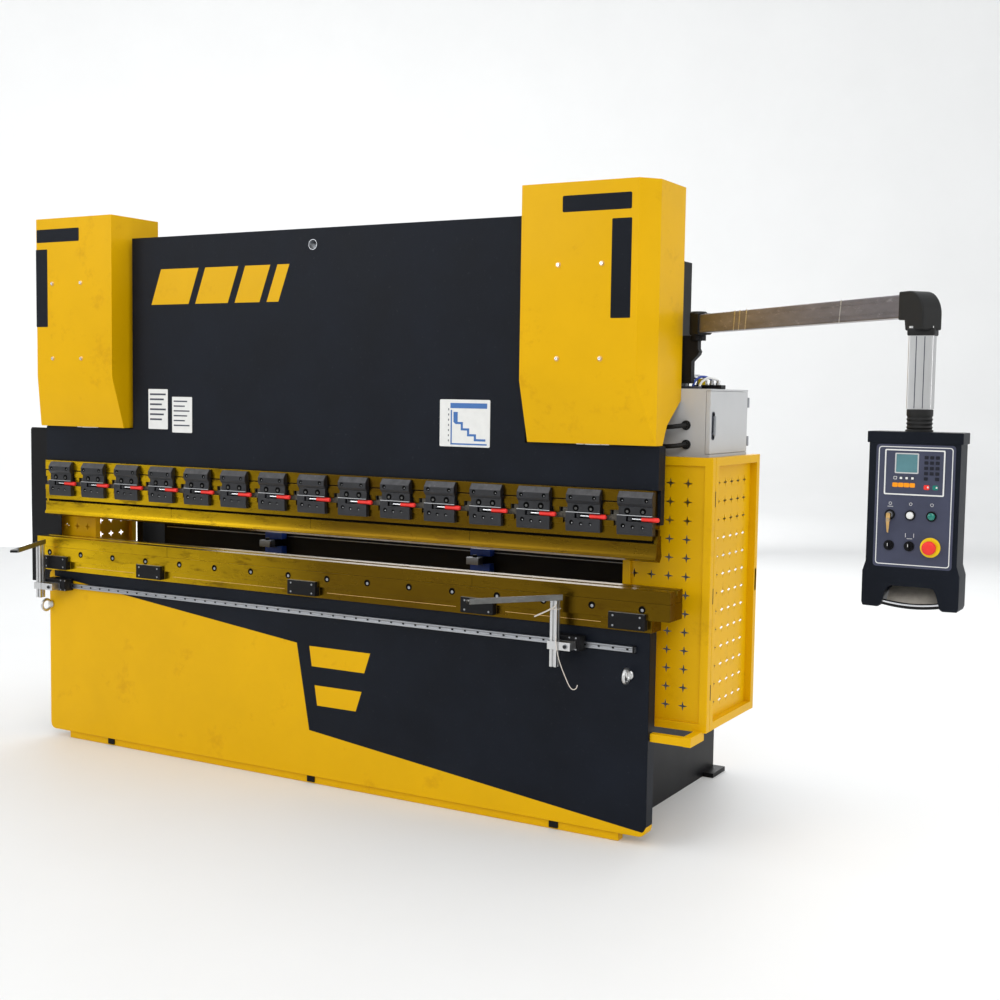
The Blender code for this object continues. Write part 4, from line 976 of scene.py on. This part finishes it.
def pendant_shell():
    outline = [(2.563, 1.112), (2.567, 1.101), (2.612, 1.1), (2.62, 1.105), (2.633, 1.15), (2.641, 1.163),
               (2.65, 1.166)]
    outline += [(2.762, 1.166), (2.771, 1.163), (2.779, 1.15), (2.792, 1.105), (2.8, 1.1), (2.841, 1.101),
                (2.845, 1.112)]
    outline += [(2.845, 1.205), (2.836, 1.235), (2.836, 1.618), (2.832, 1.622), (2.576, 1.622),
                (2.572, 1.618), (2.572, 1.235), (2.563, 1.205)]
    shell = prism(outline[::-1], "Y", FRONT_Y + 0.0002, BACK_Y)
    hood = prism([(2.566, 1.588), (2.566, 1.6215), (2.842, 1.6215), (2.842, 1.588)][::-1], "Y",
                 FRONT_Y - 0.002, BACK_Y - 0.002)
    neck = lathe("Z", ELBOW, [(0.04, 1.612), (0.04, 1.626), (0.035, 1.63), (0.038, 1.634), (0.035, 1.64),
                              (0.038, 1.646), (0.035, 1.652), (0.038, 1.658), (0.035, 1.664),
                              (0.038, 1.67), (0.038, 1.686), (0.036, 1.6874)], 32)
    emit("pendant_shell", "pendant", DARK, [shell, hood], 0.003, 3, node="pendant_box")
    emit("pendant_neck", "pendant", RUBBER, [neck])
    bar = []
    for k in range(9):
        u = -1 + k / 4
        bar.append((2.706 + 0.098 * u, FRONT_Y + 0.02, 1.106 + 0.011 * u * u))
    emit("pendant_handle", "pendant", BLACK, [tube(bar, 0.0086, 16)])
    # A thin bright tube along the top front of the handle: painted highlight.
    line = [(px, py - 0.0064, pz + 0.0035) for px, py, pz in bar]
    emit("pendant_handle_highlight", "pendant", BRIGHT, [tube(line, 0.0034, 10)])
    grip = [(-0.668, 1.1085), (-0.6, 1.161), (-0.6012, 1.164), (-0.6692, 1.111)]
    emit("pendant_grip_plate", "pendant", GRIP, [prism(grip, "X", 2.632, 2.78)])
    panel = plate((2.594, 2.822), (1.222, 1.584), 0.01, FRONT_Y - 0.0006, FRONT_Y + 0.001)
    emit("pendant_panel", "pendant", FOIL, [panel])
    border = ring(rounded((2.601, 2.815), (1.229, 1.578), 0.009),
                  rounded((2.6035, 2.8125), (1.2315, 1.5755), 0.0068), "Y", FRONT_Y - 0.001, FRONT_Y)
    module = ring(rounded((2.62, 2.793), (1.436, 1.57), 0.004),
                  rounded((2.6238, 2.7892), (1.4398, 1.5662), 0.0025), "Y", FRONT_Y - 0.0034, FRONT_Y)
    emit("pendant_borders", "pendant", WHITE, [border, module])
    face = plate((2.6235, 2.7895), (1.4395, 1.5665), 0.002, FRONT_Y - 0.0022, FRONT_Y)
    emit("pendant_module", "pendant", FOIL, [face])
    back = plate((2.593, 2.815), (1.24, 1.6), 0.008, BACK_Y - 0.001, BACK_Y + 0.0012)
    emit("pendant_back_plate", "pendant", BLACK, [back], 0.0006)
    flip = Matrix.Translation((0, BACK_Y + 0.001, 0)) @ Matrix.Rotation(pi, 4, "Z")
    flip @= Matrix.Translation((-2 * 2.704, 0, 0))
    rear = [turned(socket_head(x, 0.0, z, 0.005, 0.0022, 0.5), flip) for x in (2.604, 2.804)
            for z in (1.252, 1.588)]
    emit("pendant_back_screws", "pendant", STEEL, rear)


def button(word, material, x, z):
    """A domed push button on its own body."""
    name = f"{word}_button"
    base, top, radius = FRONT_Y + 0.008, FRONT_Y - 0.0105, 0.0107
    profile = [(radius * 0.92, base), (radius, base - 0.001), (radius, top + 0.003),
               (radius * 0.88, top + 0.001)]
    profile += [(radius * 0.5, top + 0.0001), (0.001, top)]
    emit(f"{name}_cap", name, material, [lathe("Y", (x, z), profile, 28)], node=name)


def pendant_controls():
    f = (FRONT_Y - 0.0036, FRONT_Y - 0.0015)
    keys, whites, oranges = [], [], []
    for c in range(3):
        for r in range(5):
            kx, kz = 2.74 + 0.016 * c, 1.548 - 0.0155 * r
            if r == 4 and c == 1:
                continue
            keys.append(plate(span(kx, 0.0058), span(kz, 0.005), 0.0018, *f, 2))
    for c in range(4):
        kx = 2.652 + 0.0166 * c
        square = rounded(span(kx, 0.0048), (1.4815, 1.4905), 0.0012, 2)
        inside = rounded(span(kx, 0.0036), (1.4827, 1.4893), 0.0008, 2)
        if c == 0:
            whites.append(ring(square, inside, "Y", *f))
        else:
            whites.append(prism(inside, "Y", *f))
            keys.append(ring(square, inside, "Y", *f))
        oranges.append(plate(span(kx, 0.0079), (1.459, 1.472), 0.0025, *f, 2))
    for kx in (2.7455, 2.7705):
        whites.append(box((kx - 0.0006, kx + 0.0034), (FRONT_Y - 0.0044, FRONT_Y - 0.003), (1.459, 1.464)))
    emit("pendant_keys", "pendant", FOIL_KEY, keys, 0.0004)
    emit("pendant_key_marks", "pendant", WHITE, whites)
    emit("pendant_orange_keys", "pendant", ORANGE, oranges, 0.0005)
    emit("pendant_red_key", "pendant", RED, [plate((2.735, 2.751), (1.454, 1.468), 0.003, *f, 2)], 0.0005)
    emit("pendant_green_key", "pendant", GREEN, [plate((2.76, 2.776), (1.454, 1.468), 0.003, *f, 2)],
         0.0005)
    screen = plate((2.6535, 2.715), (1.503, 1.556), 0.002, FRONT_Y - 0.003, FRONT_Y - 0.0015)
    emit("pendant_screen", "pendant", SCREEN, [screen])
    bezel = ring(rounded((2.65, 2.7185), (1.4995, 1.5595), 0.003),
                 rounded((2.6535, 2.715), (1.503, 1.556), 0.002), "Y", FRONT_Y - 0.004, FRONT_Y - 0.0015)
    emit("pendant_bezel", "pendant", GREY, [bezel])
    columns, high, low = (2.64, 2.699, 2.76), 1.377, 1.286
    collars = [ring(circle((cx, cz), 0.015, 28), circle((cx, cz), 0.0114, 28), "Y", FRONT_Y - 0.005,
                    FRONT_Y - 0.0002)
               for cx in columns for cz in (high, low) if (cx, cz) != (columns[2], low)]
    emit("control_collars", "pendant", BLACK, collars, 0.0006)
    disc = ring(circle((columns[2], low), 0.029, 36), circle((columns[2], low), 0.0114, 36), "Y",
                FRONT_Y - 0.0048, FRONT_Y - 0.0002)
    emit("stop_disc", "pendant", SIGNAL, [disc], 0.0006)
    button("white", WHITE, columns[1], high)
    button("green", GREEN, columns[2], high)
    head = lathe("Y", (columns[2], low), [(0.0107, FRONT_Y + 0.006), (0.0107, FRONT_Y - 0.013),
                                          (0.018, FRONT_Y - 0.014), (0.02, FRONT_Y - 0.0165),
                                          (0.02, FRONT_Y - 0.026), (0.0185, FRONT_Y - 0.03),
                                          (0.014, FRONT_Y - 0.0318), (0.001, FRONT_Y - 0.032)], 36)
    emit("stop_button_head", "stop_button", RED, [head], node="stop_button")
    for name, cx in (("left_selector", columns[0]), ("middle_selector", columns[1])):
        knob = lathe("Y", (cx, low), [(0.0107, FRONT_Y + 0.008), (0.0107, FRONT_Y - 0.008),
                                      (0.0098, FRONT_Y - 0.009)], 28)
        wing = prism([(cx - 0.003, low - 0.0098), (cx + 0.003, low - 0.0098), (cx + 0.003, low + 0.006),
                      (cx, low + 0.01), (cx - 0.003, low + 0.006)][::-1], "Y", FRONT_Y - 0.02,
                      FRONT_Y - 0.008)
        emit(f"{name}_knob", name, BLACK, [knob, wing], 0.0008, node=name)
        mark = box(span(cx, 0.0007), (FRONT_Y - 0.0204, FRONT_Y - 0.019), (low - 0.001, low + 0.0075))
        emit(f"{name}_mark", name, WHITE, [mark])
    cx = columns[0]
    lock = lathe("Y", (cx, high), [(0.0107, FRONT_Y + 0.008), (0.0107, FRONT_Y - 0.007),
                                   (0.0095, FRONT_Y - 0.008), (0.006, FRONT_Y - 0.008)], 28)
    emit("key_lock", "key_switch", OXIDE, [lock], node="key_switch")
    face = ring(circle((cx, high), 0.0088, 28), circle((cx, high), 0.0058, 28), "Y", FRONT_Y - 0.0086,
                FRONT_Y - 0.007)
    emit("key_lock_rim", "key_switch", STEEL, [face])
    blade = box(span(cx, 0.0012), (FRONT_Y - 0.016, FRONT_Y - 0.006), span(high, 0.0045))
    bow = plate((cx - 0.0075, cx + 0.0045), (high - 0.022, high + 0.006), 0.005, FRONT_Y - 0.018,
                FRONT_Y - 0.0158, 4)
    spare = [(cx - 0.0065, high - 0.014), (cx + 0.0035, high - 0.016), (cx + 0.003, high - 0.034)]
    spare += [(cx + 0.001, high - 0.053), (cx - 0.003, high - 0.051), (cx - 0.005, high - 0.034)]
    key = prism(spare, "Y", FRONT_Y - 0.0205, FRONT_Y - 0.0183)
    link = ring(circle((cx - 0.0015, high - 0.0145), 0.0052, 20),
                circle((cx - 0.0015, high - 0.0145), 0.004, 20), "Y", FRONT_Y - 0.0212, FRONT_Y - 0.015)
    emit("key_blade", "key_switch", BRASS, [blade, bow, key], 0.0003)
    emit("key_link", "key_switch", STEEL, [link])
    marks = [collar((x, high + 0.033), 0.0046, 0.001, "Y", FRONT_Y - 0.0009, FRONT_Y) for x in columns]
    for dx in (-0.012, 0.012):
        marks.append(box((columns[1] + dx - 0.0006, columns[1] + dx + 0.0006), (FRONT_Y - 0.0009, FRONT_Y),
                         (low + 0.026, low + 0.038)))
    marks.append(box(span(columns[1], 0.008), (FRONT_Y - 0.0009, FRONT_Y), (low + 0.0215, low + 0.0227)))
    marks.append(box(span(columns[0], 0.008), (FRONT_Y - 0.0009, FRONT_Y), (high + 0.0235, high + 0.0247)))
    emit("control_marks", "pendant", WHITE, marks)


def pendant():
    pendant_arm()
    pendant_shell()
    pendant_controls()


# ---------------------------------------------------------------- rear

def rear():
    soften("rear_beam", YELLOW, 0.006, 3)
    soften("oil_tank", BLACK, 0.004)
    soften("sync_shaft", STEEL, 0.002)
    soften("back_gauge", BLACK, 0.003)
    profile = ((0.07, 1.3796), (0.07, 1.368), (0.056, 1.362), (0.04, 1.362))
    flanges = [lathe("X", (0.22, 1.56), [(radius, s * x) for radius, x in profile], 28) for s in (-1, 1)]
    emit("shaft_flanges", "frame", BLACK, flanges, 0.001)
    motor()
    gauge()
    tank()


MOTOR_Y, MOTOR_Z = 0.5, 2.2303
TANK_TOP = 2.08


def motor():
    fins = []
    for i in range(28):
        a = 2 * pi * i / 28
        fin = box((-0.235, 0.1), (0.098, 0.1195), (-0.0022, 0.0022))
        fins.append(turned(fin, Matrix.Translation((0, MOTOR_Y, MOTOR_Z)) @ Matrix.Rotation(a, 4, "X")))
    core = lathe("X", (MOTOR_Y, MOTOR_Z),
                 [(0.06, -0.252), (0.112, -0.25), (0.114, -0.236), (0.104, -0.232), (0.104, 0.1),
                  (0.114, 0.104), (0.114, 0.112)], 40)
    emit("motor_body", "frame", MOTOR, [core, *fins], 0.0008, 1, node="pump_motor")
    hood = lathe("X", (MOTOR_Y, MOTOR_Z), [(0.1225, 0.11), (0.126, 0.114), (0.126, 0.176), (0.118, 0.188),
                                           (0.1, 0.19), (0.1, 0.1885)], 40)
    emit("motor_hood", "frame", MOTOR, [hood], slot="pump_motor")
    slots = [ring(circle((MOTOR_Y, MOTOR_Z), r, 36), circle((MOTOR_Y, MOTOR_Z), r - 0.006, 36), "X",
                  0.1886, 0.1906) for r in (0.094, 0.076, 0.058, 0.04)]
    emit("motor_grille", "frame", BLACK, slots)
    emit("motor_box", "frame", MOTOR, [box((-0.13, -0.03), (0.43, 0.57), (2.335, 2.365))], 0.006, 3)
    pump = lathe("X", (MOTOR_Y, MOTOR_Z), [(0.048, -0.24), (0.05, -0.26), (0.036, -0.275), (0.036, -0.33),
                                           (0.05, -0.336), (0.05, -0.4), (0.04, -0.418), (0.02, -0.42)], 28)
    emit("motor_pump", "frame", STEEL, [pump])
    feet = [box((-0.2, 0.07), y, (2.0803, 2.105)) for y in ((0.41, 0.45), (0.55, 0.59))]
    feet.append(box((-0.18, 0.05), (0.43, 0.57), (2.1, 2.14)))
    emit("motor_feet", "frame", BLACK, feet, 0.003)


def tank():
    cap = lathe("Z", (0.9, 0.5), [(0.055, TANK_TOP), (0.055, TANK_TOP + 0.008), (0.04, TANK_TOP + 0.012),
                                  (0.04, TANK_TOP + 0.022), (0.046, TANK_TOP + 0.026),
                                  (0.046, TANK_TOP + 0.06), (0.038, TANK_TOP + 0.068),
                                  (0.01, TANK_TOP + 0.07)], 28)
    emit("tank_filler_cap", "frame", STEEL, [cap])
    hatch = box((-1.2, -0.95), (0.36, 0.64), (TANK_TOP, TANK_TOP + 0.006))
    emit("tank_hatch", "frame", BLACK, [hatch], 0.002)
    bolts = [drum("Z", (x, y), 0.009, TANK_TOP + 0.005, TANK_TOP + 0.013, 6)
             for x in (-1.18, -1.075, -0.97) for y in (0.38, 0.62)]
    emit("tank_hatch_bolts", "frame", STEEL, bolts, 0.001)
    valves = [box((-0.83 + 0.09 * i, -0.77 + 0.09 * i), (0.43, 0.57), (2.219, 2.262)) for i in range(3)]
    emit("tank_valves", "frame", STEEL, valves, 0.002)
    coils = [lathe("Y", (-0.8 + 0.09 * i, 2.24), profile, 20)
             for profile in (((0.022, 0.57), (0.024, 0.572), (0.024, 0.64), (0.018, 0.644)),
                             ((0.018, 0.356), (0.024, 0.36), (0.024, 0.428), (0.022, 0.43)))
             for i in range(3)]
    emit("tank_coils", "frame", RUBBER, coils)
    pipes = []
    for s, start in ((-1, -0.84), (1, -0.56)):
        pipes.append(tube([(start, 0.42, 2.2), (start, 0.34, 2.2), (start + s * 0.06, 0.27, 2.2),
                           (s * 1.0, 0.262, 2.21), (s * 1.24, 0.25, 2.25), (s * 1.3, 0.185, 2.318),
                           (s * 1.335, 0.06, 2.3305), (s * 1.34, 0.034, 2.3255)], 0.009, 10))
    pipes.append(tube([(-0.56, 0.5, 2.19), (-0.5, 0.5, 2.19), (-0.46, 0.5, 2.2), (-0.43, 0.5, 2.225),
                       (-0.415, 0.5, 2.23)], 0.011, 10))
    emit("oil_pipes", "frame", STEEL, pipes)
    glass = plate((0.62, 0.66), (1.78, 1.98), 0.008, 0.7, 0.708)
    emit("tank_level_glass", "frame", SCREEN, [glass], 0.001)
    ribs = [box((-1.3, 1.3), (0.7, 0.703), (z, z + 0.012)) for z in (1.745, 2.04)]
    emit("tank_ribs", "frame", BLACK, ribs, 0.002)
    drain = lathe("Z", (-0.3, 0.5), [(0.012, 1.7), (0.016, 1.702), (0.016, 1.7205)], 6)
    emit("tank_drain", "frame", STEEL, [drain])


def gauge():
    rails = [box((-1.27, 1.27), (0.437, 0.4405), (z, z + 0.0035)) for z in (0.93, 1.018)]
    emit("gauge_rails", "back_gauge", STEEL, rails, 0.0005)
    blocks, blades, knobs = [], [], []
    for x in (-0.55, 0.6):
        blocks.append(box(span(x, 0.05), (0.395, 0.4356), (1.0065, 1.038)))
        blocks.append(box(span(x, 0.05), (0.395, 0.4356), (0.925, 0.974)))
        blades.append(box(span(x, 0.0306), (0.3294, 0.372), (0.9746, 1.0056)))
        knobs.append(lathe("Z", (x, 0.352), [(0.008, 1.0055), (0.01, 1.0065), (0.01, 1.014),
                                             (0.008, 1.016)], 18))
    emit("gauge_blocks", "back_gauge", BLUE, blocks, 0.003)
    emit("gauge_blades", "back_gauge", STEEL, blades, 0.0015)
    emit("gauge_knobs", "back_gauge", BLACK, knobs)
    racks = [box((-1.27, 1.27), (0.47, 0.53), (1.0448, 1.05))]
    emit("gauge_rack", "back_gauge", STEEL, racks, 0.001)
    tracks = []
    for s in (-1, 1):
        low, high = sorted((s * 1.325, s * 1.347))
        tracks.append(box((low, high), (0.16, 1.05), (0.86, 0.8604)))
    emit("gauge_tracks", "frame", STEEL, tracks)


# ---------------------------------------------------------------- stage

def area(name, place, target, size, power, colour=(1, 1, 1)):
    light = bpy.data.lights.new(name, "AREA")
    light.shape = "RECTANGLE"
    light.size, light.size_y = size
    light.energy = power
    light.color = colour
    obj = bpy.data.objects.new(name, light)
    obj.location = place
    aim = Vector(target) - Vector(place)
    obj.rotation_mode = "QUATERNION"
    obj.rotation_quaternion = aim.to_track_quat("-Z", "Y")
    bpy.context.scene.collection.objects.link(obj)


def stage():
    floor = lathe("Z", (0.5, 0.0), [(0.01, -0.0002), (16.0, -0.0002), (19.0, 0.35), (21.5, 1.6),
                                    (23.0, 4.0), (23.5, 8.0), (23.5, 11.0)], 96)
    lids = [f for f in floor.faces if len(f.verts) > 4 and f.calc_center_median().z > 5]
    bmesh.ops.delete(floor, geom=lids, context="FACES_ONLY")
    mesh = bpy.data.meshes.new("floor")
    floor.to_mesh(mesh)
    floor.free()
    for polygon in mesh.polygons:
        polygon.use_smooth = True
    mesh.materials.append(surface("studio_floor", (0.8, 0.8, 0.795), 0.62, tone=0.015, scale=0.6, grain=60,
                                  bump=0.02))
    obj = bpy.data.objects.new("floor", mesh)
    bpy.context.scene.collection.objects.link(obj)
    world = bpy.data.worlds.new("studio")
    world.use_nodes = True
    world.node_tree.nodes["Background"].inputs["Color"].default_value = (0.96, 0.98, 1.0, 1)
    world.node_tree.nodes["Background"].inputs["Strength"].default_value = 0.9
    bpy.context.scene.world = world
    area("key", (5.0, -6.5, 6.0), (0.2, 0, 1.2), (4.0, 4.0), 176, (1.0, 0.985, 0.96))
    area("front", (-5.0, -7.5, 4.0), (0, 0, 1.2), (5.0, 3.0), 172)
    area("top", (0.0, 0.5, 8.0), (0.0, 0.2, 0.0), (7.0, 5.0), 158)
    area("back", (-2.0, 8.0, 5.0), (0.0, 0.2, 1.2), (7.0, 4.0), 225)
    area("right", (9.0, 1.5, 3.0), (1.0, 0.0, 1.2), (4.0, 4.0), 110)
    area("backdrop", (-6.0, 7.0, 3.0), (-12.0, 16.0, 3.0), (8.0, 6.0), 900)


def camera():
    place = Vector((3.653, -4.787, 1.711))
    yaw, pitch, roll = radians(29.7), radians(4.35), radians(0.87)
    ahead = Vector((-sin(yaw) * cos(pitch), cos(yaw) * cos(pitch), -sin(pitch)))
    right = Vector((cos(yaw), sin(yaw), 0.0))
    up = right.cross(ahead)
    right, up = right * cos(roll) + up * sin(roll), up * cos(roll) - right * sin(roll)
    data = bpy.data.cameras.new("camera")
    lens_over_sensor = 2055 / 1488
    data.sensor_width = 36
    data.lens = data.sensor_width * lens_over_sensor
    data.clip_end = 200
    obj = bpy.data.objects.new("camera", data)
    matrix = Matrix((right, up, -ahead)).transposed().to_4x4()
    matrix.translation = place
    obj.matrix_world = matrix
    bpy.context.scene.collection.objects.link(obj)
    bpy.context.scene.camera = obj
    bpy.context.scene.view_settings.view_transform = "Standard"


frame_and_covers()
ram()
tooling()
supports()
guards()
cabinet()
pendant()
rear()
stage()
camera()
